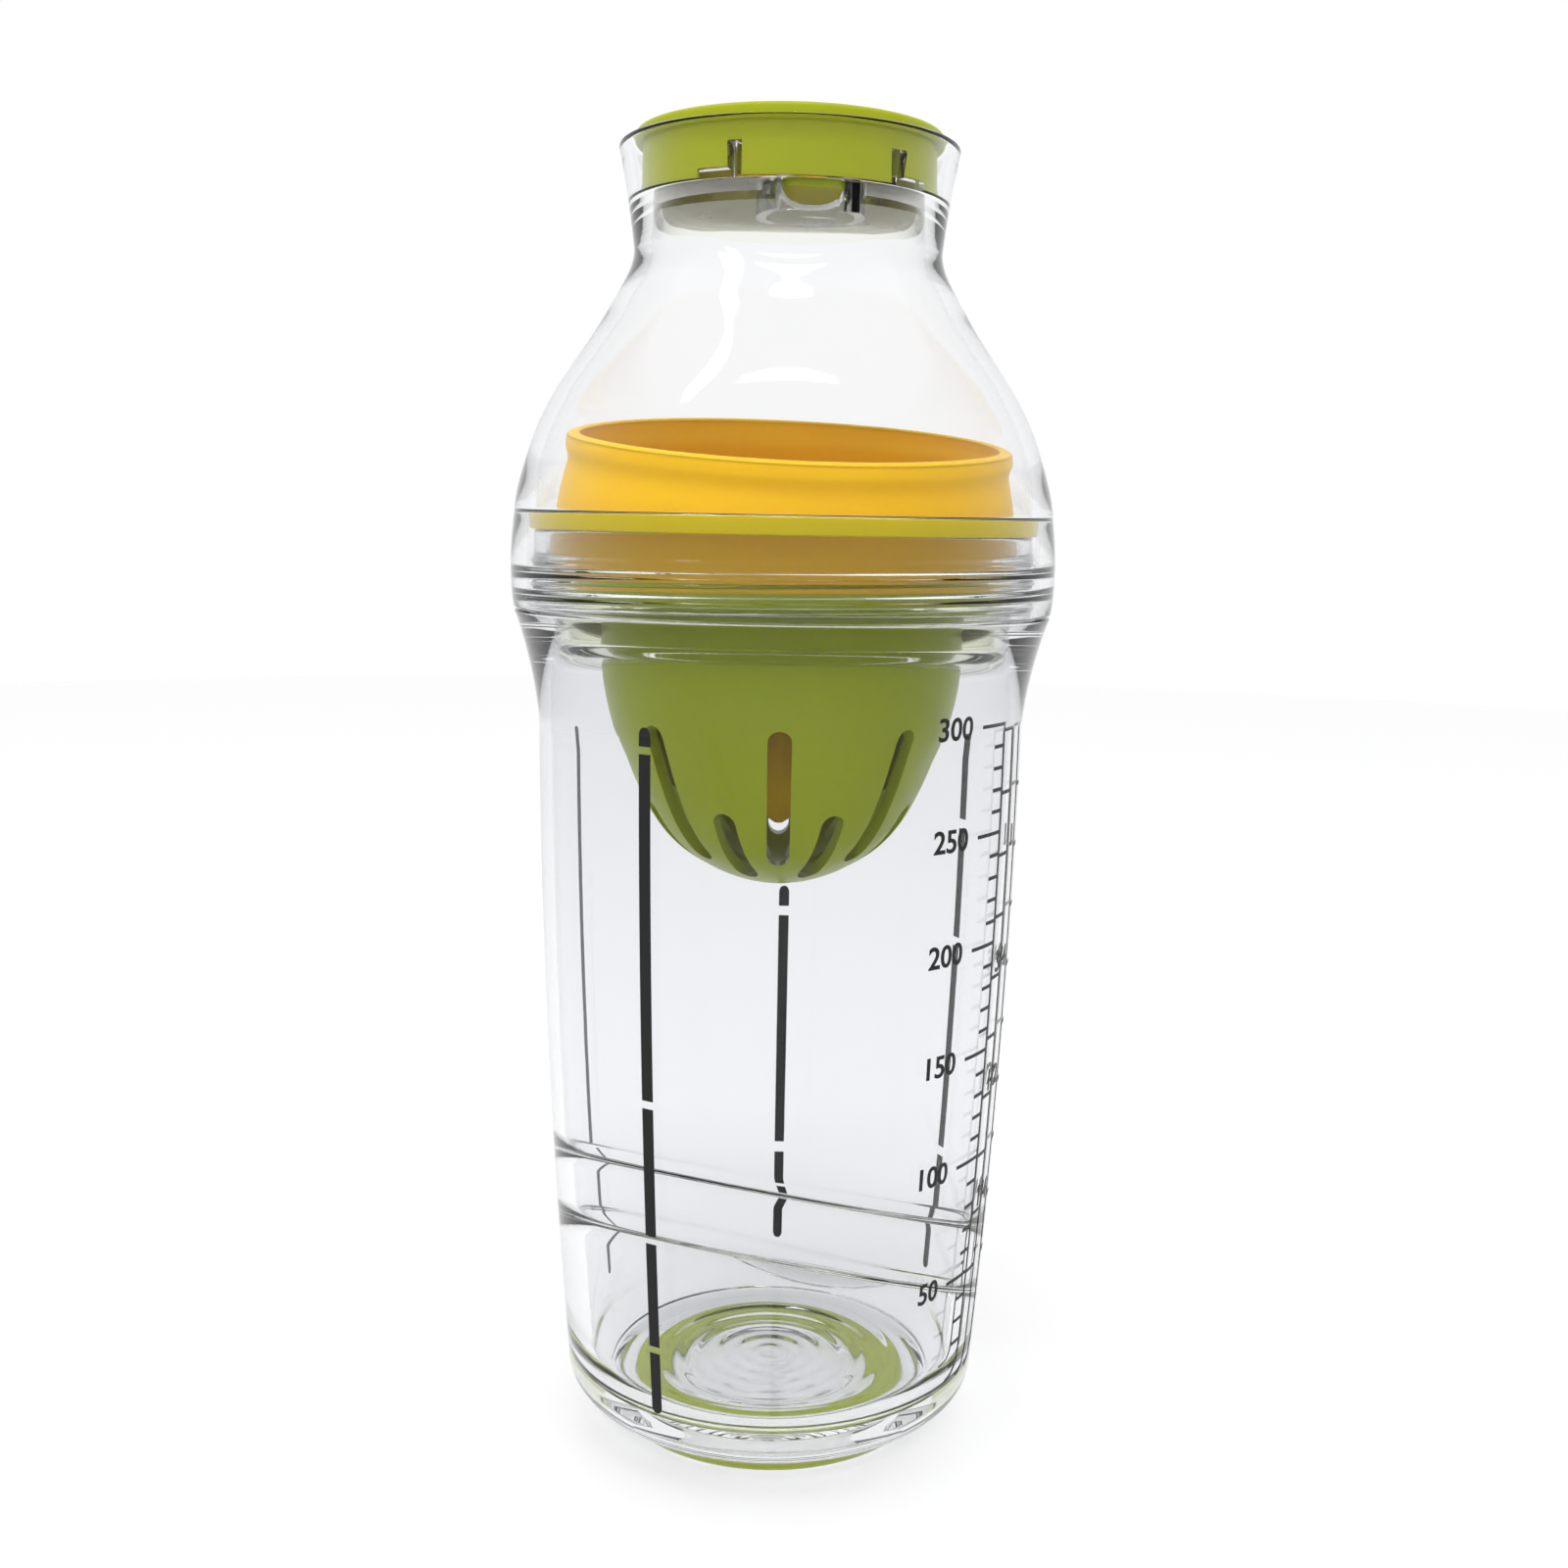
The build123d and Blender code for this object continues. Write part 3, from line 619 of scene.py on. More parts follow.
# ------------------------------------------------------------------ seal, grip ring
def make_joint_seal():
    """The flat ring that seals the lid on the bottle's rim."""
    inner, outer, low, high = 33.5, 35.95, 130.05, 132.45
    corners = [(inner, low), (inner, high), (outer, high), (outer, low)]
    outline = []
    for k, corner in enumerate(corners):
        outline += rounded(corner, corners[k - 1], corners[(k + 1) % 4], 0.3)
    seal = turned("joint_seal_ring", outline, closed=True)
    colours = bpy.context.scene.shaker_colours
    rubber = moulded("lime_silicone", colours.seal, shade_of(colours.seal, 0.93), 0.45, soft=0.25,
                     grain=1400.0)
    return finished(seal, "seal", rubber, "joint_seal")


def make_grip_ring():
    """The soft ring under the foot, crossed by fine grooves."""
    inner, outer, high = 15.5, 20.6, 1.7
    tread = [(inner + (outer - inner) * k / 24, 0.25 if k % 4 == 0 else 0.02) for k in range(1, 24)]
    outline = path((inner, high), rounded((inner, 0.02), (inner, high), (outer, 0.02), 0.5), tread,
                   rounded((outer, 0.02), (inner, 0.02), (outer, high), 0.8),
                   rounded((outer, high), (outer, 0), (inner, high), 0.2),
                   rounded((inner, high), (outer, high), (inner, 0), 0.2)[:-1])
    grip = turned("grip_ring", outline, closed=True)
    colours = bpy.context.scene.shaker_colours
    lime = moulded("lime_grip", colours.lime_bright, shade_of(colours.lime, 1.2), 0.6, soft=0.15)
    return finished(grip, "bottle", lime, "base_grip_ring")


# ------------------------------------------------------------------ strainer
RIM_R, RIM = 33.3, (121.05, 123.35)
PAN_TOP, PAN_LOW, PAN_Z = 32.3, 32.0, 114.7
STRAINER_WALL = 1.8
BASKET_R, BASKET_DEEP = 25.6, 34.8
BASKET_SHARES = ((0.844, 0.509), (0.547, 0.848))
LONG_SLOT, SHORT_SLOT, SLOT_WIDE, SLOTS = (5.0, 20.5), (2.3, 10.6), 3.2, 8


def basket_side(inset, top):
    """The basket's round side from its top down to the tip."""
    points = [(BASKET_R - inset, top)]
    for radius, depth in BASKET_SHARES:
        lean = depth ** 2.0
        points.append((BASKET_R * radius - inset * sqrt(1 - lean ** 2), PAN_Z - BASKET_DEEP * depth + inset * lean))
    points.append((0, PAN_Z - BASKET_DEEP + inset))
    return curve(points, (-0.9, -14.0), (-15.0, 0.0), 16)


def slot_tool(clock, rise, length):
    """A round-ended block that cuts one slot through the basket's side."""
    tip = PAN_Z - BASKET_DEEP
    radius = SLOT_WIDE / 2
    low, high = tip + rise + radius, tip + rise + length - radius
    deselect()
    bpy.ops.mesh.primitive_cylinder_add(vertices=32, radius=radius * MM, depth=30 * MM,
                                        location=Vector((0, -15, low)) * MM, rotation=(pi / 2, 0, 0))
    tool = bpy.context.object
    bpy.ops.object.transform_apply(location=True, rotation=True, scale=True)
    for v in tool.data.vertices:
        if v.co.z > low * MM:
            v.co.z += (high - low) * MM
    return placed(tool, Matrix.Rotation(radians(clock), 4, "Z"))


def make_strainer():
    """The lime strainer: a rim, and a domed basket cut by long and short slots."""
    top = (RIM[0] + RIM[1]) / 2
    wall_top, wall_in = (BASKET_R + 0.3, top), (BASKET_R + 0.3 - STRAINER_WALL, top)
    outside, inside = basket_side(0, PAN_Z), basket_side(STRAINER_WALL, PAN_Z)
    outline = path(
        outside[::-1],
        stretch((BASKET_R, PAN_Z), wall_top, 4)[1:-1],
        rounded(wall_top, outside[0], wall_in, 0.5),
        rounded(wall_in, wall_top, inside[0], 0.5),
        stretch(wall_in, inside[0], 4)[1:-1],
        inside,
    )
    basket = turned("strainer", outline, steps=128)
    tools = []
    for index in range(SLOTS):
        tools.append(slot_tool(index * 360 / SLOTS, *LONG_SLOT))
        tools.append(slot_tool((index + 0.5) * 360 / SLOTS, *SHORT_SLOT))
    for tool in tools:
        combine(basket, tool, "DIFFERENCE")
    modifier(basket, "BEVEL", width=0.28 * MM, segments=2, limit_method="ANGLE", angle_limit=radians(50),
             use_clamp_overlap=True)
    rim_in = RIM_R - STRAINER_WALL - (RIM_R - PAN_TOP)
    corners = ((rim_in, RIM[0]), (rim_in, RIM[1]), (RIM_R, RIM[1]), (RIM_R, RIM[0]))
    ring = []
    for k, corner in enumerate(corners):
        ring += rounded(corner, corners[k - 1], corners[(k + 1) % 4], 0.4)
    strainer = joined([basket, turned("rim", ring, closed=True)])
    colours = bpy.context.scene.shaker_colours
    lime = moulded("lime_plastic", colours.lime, shade_of(colours.lime, 0.9), 0.34, soft=0.12, coat=0.15)
    return finished(strainer, "strainer", lime, "strainer_basket")


def make_pan():
    """The thin pale pan between the strainer's rim and its basket."""
    floor_top, rim_in = PAN_Z + STRAINER_WALL, PAN_TOP - STRAINER_WALL
    out_top, out_low, foot = (PAN_TOP, RIM[0] - 0.02), (PAN_LOW, PAN_Z), (BASKET_R + 0.05, PAN_Z)
    foot_top, in_low, in_top = (BASKET_R + 0.05, floor_top), (PAN_LOW - STRAINER_WALL, floor_top), (rim_in, RIM[0] - 0.02)
    corners = (out_top, out_low, foot, foot_top, in_low, in_top)
    rounds = (0.2, 1.6, 0.2, 0.3, 1.0, 0.2)
    outline = []
    for k, corner in enumerate(corners):
        outline += rounded(corner, corners[k - 1], corners[(k + 1) % 6], rounds[k])
    pan = turned("strainer_pan", outline, closed=True)
    colours = bpy.context.scene.shaker_colours
    # The pan's edge colour, 0.8 of its face, is painted shade where the eye runs along its wall.
    pale = clear_plastic("pale_lime_plastic", colours.pan, shade_of(colours.pan, 0.8), 0.15, 1.15)
    return finished(pan, "strainer", pale, angle=60.0)


# ------------------------------------------------------------------ reamer cup
CUP_Z, CUP_FLOOR_Z, CUP_TOP_Z, CUP_WALL = 123.4, 125.2, 143.1, 1.8
CUP_BASE_R, CUP_WAIST_R, CUP_LIP_R, CUP_SWELL = 32.75, 30.9, 31.25, 0.2
CUP_LEAN, CUP_LEAN_SIDE, CUP_SHIFT = 8.0, 1.9, (0.6, -1.2)
CONE_R, CONE_DEEP, CONE_POWER, CONE_TIP, RIBS, VALLEY = 22.0, 36.6, 2.45, 0.6, 10, 0.86
HOLLOW_R, HOLLOW_TAPER, HOLLOW_SHARE = 17.42, 20.0, 0.62
DRAINS, DRAIN_IN, DRAIN_OUT, DRAIN_WIDE = 10, 24.2, 28.75, 2.4


def cup_side(inset, low):
    """Radius and height of the cup's side, upright, from low up to the lip."""
    tall = CUP_TOP_Z - CUP_Z
    points = [(CUP_BASE_R - inset, low)]
    for share, radius in ((0.28, CUP_BASE_R + CUP_SWELL), (0.56, (CUP_BASE_R + CUP_WAIST_R) / 2),
                          (0.77, CUP_WAIST_R), (0.9, CUP_LIP_R), (1, CUP_LIP_R - CUP_SWELL)):
        points.append((radius - inset, CUP_Z + tall * share))
    return curve(points, (0.3, 4.0), (-0.3, 1.6), 6)


def cone_radius(drop):
    """Ridge radius of the fluted cone at a share of its depth."""
    return max(0.0, CONE_R * (1 - drop ** CONE_POWER) + CONE_TIP * drop)


def make_reamer():
    """The yellow silicone cup: a soft leaning wall, a fluted hollow cone and drain slots."""
    deep = CONE_DEEP * HOLLOW_SHARE
    hollow_low = HOLLOW_R - deep * tan(radians(HOLLOW_TAPER))
    outer, inner = cup_side(0, CUP_Z), cup_side(CUP_WALL, CUP_FLOOR_Z)
    drops = [1 - (1 - k / 24) ** 2 for k in range(1, 25)]
    cone = [(cone_radius(d), CUP_FLOOR_Z - CONE_DEEP * d) for d in drops]
    cone = [(r, z) for r, z in cone if z < CUP_Z - 0.8]
    cone_top = (cone_radius((CUP_FLOOR_Z - CUP_Z) / CONE_DEEP), CUP_Z)
    hollow_floor = CUP_FLOOR_Z - deep
    outline = path(
        (0, CUP_FLOOR_Z - CONE_DEEP), cone[::-1],
        rounded(cone_top, cone[0], (CUP_BASE_R, CUP_Z), 0.5),
        stretch(cone_top, (CUP_BASE_R, CUP_Z), 6)[1:-1],
        rounded((CUP_BASE_R, CUP_Z), cone_top, outer[1], 0.4),
        outer[1:-1],
        rounded(outer[-1], outer[-2], inner[-1], 0.55),
        rounded(inner[-1], outer[-1], inner[-2], 0.55),
        inner[::-1][1:-1],
        rounded(inner[0], inner[1], (0, CUP_FLOOR_Z), 0.6),
        stretch(inner[0], (HOLLOW_R + 0.6, CUP_FLOOR_Z), 6)[1:-1],
        rounded((HOLLOW_R, CUP_FLOOR_Z), inner[0], (hollow_low, hollow_floor), 0.8),
        stretch((HOLLOW_R, CUP_FLOOR_Z), (hollow_low, hollow_floor), 10)[1:-1],
        rounded((hollow_low, hollow_floor), (HOLLOW_R, CUP_FLOOR_Z), (0, hollow_floor), 1.5),
        (0, hollow_floor),
    )
    cup = turned("reamer", outline, steps=200)

    def flute(r, z, angle):
        if z > CUP_Z - 0.02 or hollow_floor - 0.01 < z and r < HOLLOW_R - (CUP_FLOOR_Z - z) * tan(
                radians(HOLLOW_TAPER)) + 0.3:
            return r, z
        fade = min(1.0, (CUP_Z - z) / 1.5)
        wave = abs(sin(angle * RIBS / 2)) ** 0.8
        return r * (1 - (1 - VALLEY) * wave * fade), z

    reshape(cup, flute)
    slots = []
    for index in range(DRAINS):
        slots.append(drain_tool((index + 0.5) * 360 / DRAINS))
    for slot in slots:
        combine(cup, slot, "DIFFERENCE")
    soften_cup(cup)
    colours = bpy.context.scene.shaker_colours
    yellow = moulded("yellow_silicone", colours.yellow, shade_of(colours.yellow, 0.93), 0.42, soft=0.45,
                     depth=2.0, grain=700.0, grain_bump=0.15)
    return finished(cup, "reamer", yellow, "reamer_cup")


def drain_tool(clock):
    """A round-ended block that cuts one drain slot through the cup's floor."""
    radius = DRAIN_WIDE / 2
    near, far = DRAIN_IN + radius, DRAIN_OUT - radius
    deselect()
    bpy.ops.mesh.primitive_cylinder_add(vertices=24, radius=radius * MM, depth=6 * MM,
                                        location=Vector((0, -near, (CUP_Z + CUP_FLOOR_Z) / 2)) * MM)
    tool = bpy.context.object
    bpy.ops.object.transform_apply(location=True, rotation=True, scale=True)
    for v in tool.data.vertices:
        if v.co.y < -near * MM - FINE:
            v.co.y -= (far - near) * MM
    return placed(tool, Matrix.Rotation(radians(clock), 4, "Z"))


def soften_cup(cup):
    """Lean the cup's rim forwards, shift it, and give the soft wall its slow waves."""
    tall = CUP_TOP_Z - CUP_Z
    for v in cup.data.vertices:
        z = v.co.z / MM
        share = (z - CUP_Z) / tall
        if share <= 0.1:
            continue
        stages = ((0.1, 0.0), (0.28, 0.06), (0.56, 0.5), (0.77, 0.86), (0.9, 1.0), (1.1, 1.0))
        lean = 1.0
        for (a, low), (b, high) in zip(stages, stages[1:]):
            if a <= share <= b:
                t = (share - a) / (b - a)
                lean = low + (high - low) * t * t * (3 - 2 * t) if (a, b) == (0.28, 0.56) else low + (high - low) * t
        angle = atan2(v.co.x, -v.co.y)
        wave = 0.22 * share * sin(2 * angle + 0.7) - 0.16 * share * (0.5 + 0.5 * cos(3 * angle))
        flat = Vector((v.co.x, v.co.y, 0)) * (1 + min(0.0, wave) / CUP_BASE_R)
        turn = Euler((radians(CUP_LEAN * lean), radians(CUP_LEAN_SIDE * lean), 0)).to_matrix()
        shift = Vector((CUP_SHIFT[0] * lean, CUP_SHIFT[1] * lean, z)) * MM
        v.co = turn @ flat + shift
    cup.data.update()


# ------------------------------------------------------------------ stopper
CAP_R, CAP_DISC_Z, CAP_TOP_Z = 21.2, 181.9, 184.0
CAP_SKIRT = (18.725, 20.125)
CAP_FLOOR_Z, PLUG_TOP_Z = 175.05, 178.55
DISH_R, DISH_DEEP = 15.0, 0.5


def make_stopper_cap():
    """The lime stopper: a dished disc on a skirt notched over the lid's fins, and a boss."""
    edge_low, edge_high = (CAP_R, CAP_DISC_Z), (CAP_R, CAP_TOP_Z)
    dish_edge, dish = (DISH_R, CAP_TOP_Z), (DISH_R - 2.5, CAP_TOP_Z - DISH_DEEP)
    skirt_in, skirt_out = CAP_SKIRT
    outline = path(
        stretch((0, CAP_TOP_Z - DISH_DEEP), dish, 6),
        curve([dish, dish_edge], (1.6, 0), (1.6, 0), 6),
        rounded(edge_high, dish_edge, edge_low, 0.7, 6),
        rounded(edge_low, edge_high, (skirt_out, CAP_DISC_Z), 0.4),
        rounded((skirt_out, CAP_DISC_Z), edge_low, (skirt_out, CAP_FLOOR_Z), 0.3),
        stretch((skirt_out, CAP_DISC_Z - 0.3), (skirt_out, CAP_FLOOR_Z), 8)[1:-1],
        rounded((skirt_out, CAP_FLOOR_Z), (skirt_out, CAP_DISC_Z), (skirt_in, CAP_FLOOR_Z), 0.3),
        rounded((skirt_in, CAP_FLOOR_Z), (skirt_out, CAP_FLOOR_Z), (skirt_in, CAP_DISC_Z), 0.3),
        stretch((skirt_in, CAP_FLOOR_Z + 0.3), (skirt_in, CAP_DISC_Z), 8)[1:-1],
        rounded((skirt_in, CAP_DISC_Z), (skirt_in, CAP_FLOOR_Z), (0, CAP_DISC_Z), 0.4),
        (0, CAP_DISC_Z),
    )
    cap = turned("stopper", outline, steps=128)
    for tool in (*notch_tools(-1), *notch_tools(1)):
        combine(cap, tool, "DIFFERENCE")
    boss = turned("boss", path((0, PLUG_TOP_Z - 1.8), (2.2, PLUG_TOP_Z - 1.8), (2.2, PLUG_TOP_Z),
                               (5.0, PLUG_TOP_Z), (5.0, CAP_DISC_Z + 0.4), (0, CAP_DISC_Z + 0.4)), steps=48)
    combine(cap, placed(boss, about(POUR_CLOCK, POUR_AT)), "UNION")
    colours = bpy.context.scene.shaker_colours
    lime = moulded("lime_cap_plastic", colours.lime_bright, shade_of(colours.lime_bright, 0.92), 0.36,
                   soft=0.12, coat=0.1)
    return finished(cap, "stopper", lime, "stopper_cap")


def notch_tools(side):
    """What the stopper's skirt leaves free for one guide fin and its toe."""
    room = 0.35
    radius = CAP_SKIRT[1]
    deselect()
    bpy.ops.mesh.primitive_cube_add(size=1, location=Vector((0, -radius, CAP_FLOOR_Z + FIN_HIGH / 2 - 0.5)) * MM)
    notch = bpy.context.object
    notch.scale = Vector((FIN_THICK + 2 * room, 4 * COLLAR_WALL, FIN_HIGH + room + 1.0)) * MM
    bpy.ops.object.transform_apply(location=True, rotation=True, scale=True)
    low, high = CAP_FLOOR_Z - 1, DECK_Z + TOE_HIGH + room
    sweep = TOE_SWEEP + 2.0
    toe = turned("toe_room", path((16, low), (16, high), (22, high), (22, low)), steps=8,
                 sweep=radians(sweep), closed=True)
    clock = POUR_CLOCK + side * FIN_CLOCK
    placed(notch, Matrix.Rotation(radians(clock), 4, "Z"))
    placed(toe, Matrix.Rotation(radians(clock + (-90 if side > 0 else -90 - sweep)), 4, "Z"))
    return notch, toe


def make_stopper_plug():
    """The soft plug: a pad on the deck and a rounded nose in the pour hole."""
    pad, nose, low = 8.0, 5.3, CAP_FLOOR_Z - 0.9
    nose_low, nose_high = (nose, low), (nose, CAP_FLOOR_Z)
    pad_low, pad_high = (pad, CAP_FLOOR_Z), (pad, PLUG_TOP_Z)
    pin = 2.25
    outline = path((0, low), stretch((0, low), (nose - 0.8, low), 4),
                   rounded(nose_low, (0, low), nose_high, 0.6), nose_high,
                   rounded(pad_low, nose_high, pad_high, 0.25), rounded(pad_high, pad_low, (pin, PLUG_TOP_Z), 0.3),
                   (pin, PLUG_TOP_Z), (pin, PLUG_TOP_Z - 1.85), (0, PLUG_TOP_Z - 1.85))
    plug = placed(turned("plug", outline, steps=72), about(POUR_CLOCK, POUR_AT))
    deselect()
    bpy.ops.mesh.primitive_cylinder_add(vertices=128, radius=(CAP_SKIRT[0] - 0.06) * MM, depth=12 * MM,
                                        location=Vector((0, 0, PLUG_TOP_Z - 3)) * MM)
    trim = bpy.context.object
    bpy.ops.object.transform_apply(location=True, rotation=True, scale=True)
    combine(plug, trim, "INTERSECT")
    colours = bpy.context.scene.shaker_colours
    # Painted shade: the plug's lime is 0.8 of the cap's, for the plug sitting under the cap's skirt.
    soft = moulded("plug_silicone", shade_of(colours.lime_bright, 0.8), colours.lime, 0.5, soft=0.3)
    return finished(plug, "stopper", soft, "stopper_plug")


# ------------------------------------------------------------------ printed scale
ML_CLOCK, CUP_CLOCK, OZ_CLOCK, PRINT_Z = 61.0, 67.0, 74.0, 60.0
ML_MARKS = (26.9, 44.2, 59.9, 75.2, 90.7, 105.5)          # heights of 50 to 300 ml
CUP_STEP, CUP_TOP = 8.66, 104.6
HAIRLINE, MAJOR_TICK, MINOR_TICK, TICK_WIDE = 0.42, 6.1, 2.7, 0.5
BARS = (                                                  # clock, width share, segments from the foot up
    (-29.9, 1.0, ((10.4, 19.5), (20.5, 35.6), (36.8, 54.8), (55.9, 102.2), (103.2, 105.7))),
    (178.0, 1.0, ((12.0, 18.2), (19.9, 26.6), (28.4, 67.0), (68.6, 72.0))),
    (118.5, 1.0, ((14.0, 32.5), (34.0, 66.6), (68.0, 85.2), (86.7, 103.0))),
    (-110.0, 0.7, ((14.0, 33.0), (34.5, 103.0))),
)


def label_patch(name, shapes, clock):
    """Flat shapes (x along the wall, z up, in millimetres) pulled onto the bottle's wall."""
    sizes = bpy.context.scene.shaker_sizes
    film = sizes.ink_film / MM
    for piece in shapes:
        for v in piece.data.vertices:
            across, z, depth = v.co.x / MM, v.co.y / MM, v.co.z / MM
            base = wall_radius(min(max(z, WALL_BASE[1]), WALL_TOP[1] + 2))
            angle = radians(clock) + across / wall_radius(PRINT_Z)
            r = base + film * (0.9 if depth > 0 else -0.6)
            v.co = Vector((r * sin(angle), -r * cos(angle), z)) * MM
        piece.data.update()
    patch = joined(shapes)
    patch.name = name
    return patch


def bar(x0, z0, x1, z1, ends=(False, False)):
    """An upright or level bar as a thin slab divided finely along its length, with round ends."""
    deselect()
    long = abs(z1 - z0)
    cuts = max(1, ceil(max(long, abs(x1 - x0)) / 1.0))
    bpy.ops.mesh.primitive_grid_add(x_subdivisions=max(6, ceil(abs(x1 - x0) / 0.6)), y_subdivisions=cuts, size=1)
    slab = bpy.context.object
    for v in slab.data.vertices:
        across, up = v.co.x * 2, v.co.y * 2
        x = (x0 + x1) / 2 + (x1 - x0) / 2 * across
        z = (z0 + z1) / 2 + (z1 - z0) / 2 * up
        half = abs(x1 - x0) / 2
        if ends[1] and up > 1 - 1e-4:
            z -= half * (1 - sqrt(max(0.0, 1 - across * across)))
        if ends[0] and up < -1 + 1e-4:
            z += half * (1 - sqrt(max(0.0, 1 - across * across)))
        v.co = Vector((x, z, 0)) * MM
    return slab_from(slab)


def slab_from(flat):
    """Give a flat mesh a film's thickness."""
    film = bpy.context.scene.shaker_sizes.ink_film
    modifier(flat, "SOLIDIFY", thickness=film, offset=1.0)
    return flat


def number(text, x, z):
    """A plain number, right-aligned and centred on a height, as a thin mesh."""
    sizes = bpy.context.scene.shaker_sizes
    deselect()
    bpy.ops.object.text_add(location=(0, 0, 0))
    label = bpy.context.object
    label.data.body = text
    label.data.size = sizes.digit_height / 0.7
    label.data.align_x = "RIGHT"
    label.data.align_y = "CENTER"
    label.data.resolution_u = 4
    label.data.offset = 0.075 * MM
    bpy.ops.object.convert(target="MESH")
    label = bpy.context.object
    bpy.ops.object.mode_set(mode="EDIT")
    bpy.ops.mesh.select_all(action="SELECT")
    bpy.ops.mesh.remove_doubles(threshold=FINE)
    bpy.ops.mesh.dissolve_limited(angle_limit=radians(0.5))
    bpy.ops.object.mode_set(mode="OBJECT")
    placed(label, Matrix.Translation(Vector((x, z, 0)) * MM))
    modifier(label, "TRIANGULATE")
    return slab_from(label)


def scale_line(x, low, high, hook):
    """A fine upright line that curls aside at its foot."""
    width = HAIRLINE
    line = bar(x - width / 2, low + abs(hook), x + width / 2, high)
    radius = abs(hook)
    curl = bar(0, 0, width, radius * pi / 2)
    for v in curl.data.vertices:
        across, along = v.co.x / MM - width / 2, v.co.y / MM
        angle = along / radius
        side = -1 if hook < 0 else 1
        v.co.x = (x + side * (radius - (radius - side * across) * cos(angle))) * MM
        v.co.y = (low + radius - (radius - side * across) * sin(angle)) * MM
    return [line, curl]


def tick(x0, x1, z):
    return bar(x0, z - TICK_WIDE / 2, x1, z + TICK_WIDE / 2)


def make_scale():
    """The printed millilitre scale with plain numbers, and two finer scales beside it."""
    shapes = []
    middle = radians(CUP_CLOCK)
    radius = wall_radius(PRINT_Z)

    def across(clock):
        return radius * (radians(clock) - middle)

    main = across(ML_CLOCK)
    shapes += scale_line(main, 11.2, ML_MARKS[-1] + TICK_WIDE / 2, -3.6)
    for index, z in enumerate(ML_MARKS):
        shapes.append(tick(main - MAJOR_TICK, main, z))
        shapes.append(number(str(50 * (index + 1)), main - MAJOR_TICK - 2.2, z))
        below = ML_MARKS[index - 1] if index else z - (ML_MARKS[1] - z)
        for step in range(1, 5):
            shapes.append(tick(main - MINOR_TICK, main, below + (z - below) * step / 5))
    second, third = across(CUP_CLOCK), across(OZ_CLOCK)
    shapes += scale_line(second, 10.6, CUP_TOP + TICK_WIDE / 2, -3.4)
    shapes += scale_line(third, 10.6, CUP_TOP + TICK_WIDE / 2, -3.4)
    for step in range(10):
        z = CUP_TOP - CUP_STEP * step
        shapes.append(tick(main, second, z))
        shapes.append(tick(third, third + MINOR_TICK, z + 0.2))
    for label, step in (("1", 2), ("3/4", 4), ("1/2", 6), ("1/4", 8)):
        shapes.append(number(label, third - 0.9, CUP_TOP - CUP_STEP * step + 1.9))
    scale = label_patch("printed_scale", shapes, CUP_CLOCK)
    return finished(scale, "bottle", ink_material(), angle=60.0)


def make_bars():
    """The printed proportion bars round the bottle, in segments with round ends."""
    half = bpy.context.scene.shaker_sizes.bar_width / MM / 2
    patches = []
    for clock, share, segments in BARS:
        shapes = []
        for index, (low, high) in enumerate(segments):
            ends = (index == 0, index == len(segments) - 1)
            shapes.append(bar(-half * share, low, half * share, high, ends))
        patches.append(label_patch("bar", shapes, clock))
    bars = joined(patches)
    bars.name = "printed_bars"
    return finished(bars, "bottle", ink_material(), angle=60.0)


# ------------------------------------------------------------------ stage
def soft_lamp(name, place, target, width, height, power, mirrored=False):
    """A softbox aimed at a point, in millimetres; only a mirrored one shows as a highlight."""
    light = bpy.data.lights.new(name, "AREA")
    light.shape = "ELLIPSE" if mirrored else "RECTANGLE"
    light.size, light.size_y = width * MM, height * MM
    light.energy = power
    lamp = bpy.data.objects.new(name, light)
    bpy.context.scene.collection.objects.link(lamp)
    lamp.location = Vector(place) * MM
    lamp.rotation_euler = (Vector(target) - Vector(place)).to_track_quat("-Z", "Y").to_euler()
    lamp.visible_glossy = lamp.visible_transmission = mirrored


def make_world(stage):
    """White behind, and an even plain light from all round."""
    world = bpy.data.worlds.new("studio")
    bpy.context.scene.world = world
    world.use_nodes = True
    nodes, links = world.node_tree.nodes, world.node_tree.links
    light = nodes["Background"]
    light.inputs["Color"].default_value = (1, 1, 1, 1)
    light.inputs["Strength"].default_value = stage.world
    white = nodes.new("ShaderNodeBackground")
    white.inputs["Color"].default_value = (1, 1, 1, 1)
    white.inputs["Strength"].default_value = 1.0
    through = nodes.new("ShaderNodeBackground")
    through.inputs["Color"].default_value = (0.96, 0.965, 0.97, 1)
    through.inputs["Strength"].default_value = 1.0
    ray = nodes.new("ShaderNodeLightPath")
    either = nodes.new("ShaderNodeMath")
    either.operation = "MAXIMUM"
    links.new(ray.outputs["Is Transmission Ray"], either.inputs[0])
    links.new(ray.outputs["Is Glossy Ray"], either.inputs[1])
    clear = nodes.new("ShaderNodeMixShader")
    links.new(either.outputs[0], clear.inputs["Fac"])
    links.new(light.outputs["Background"], clear.inputs[1])
    links.new(through.outputs["Background"], clear.inputs[2])
    seen = nodes.new("ShaderNodeMixShader")
    links.new(ray.outputs["Is Camera Ray"], seen.inputs["Fac"])
    links.new(clear.outputs["Shader"], seen.inputs[1])
    links.new(white.outputs["Background"], seen.inputs[2])
    links.new(seen.outputs["Shader"], nodes["World Output"].inputs["Surface"])


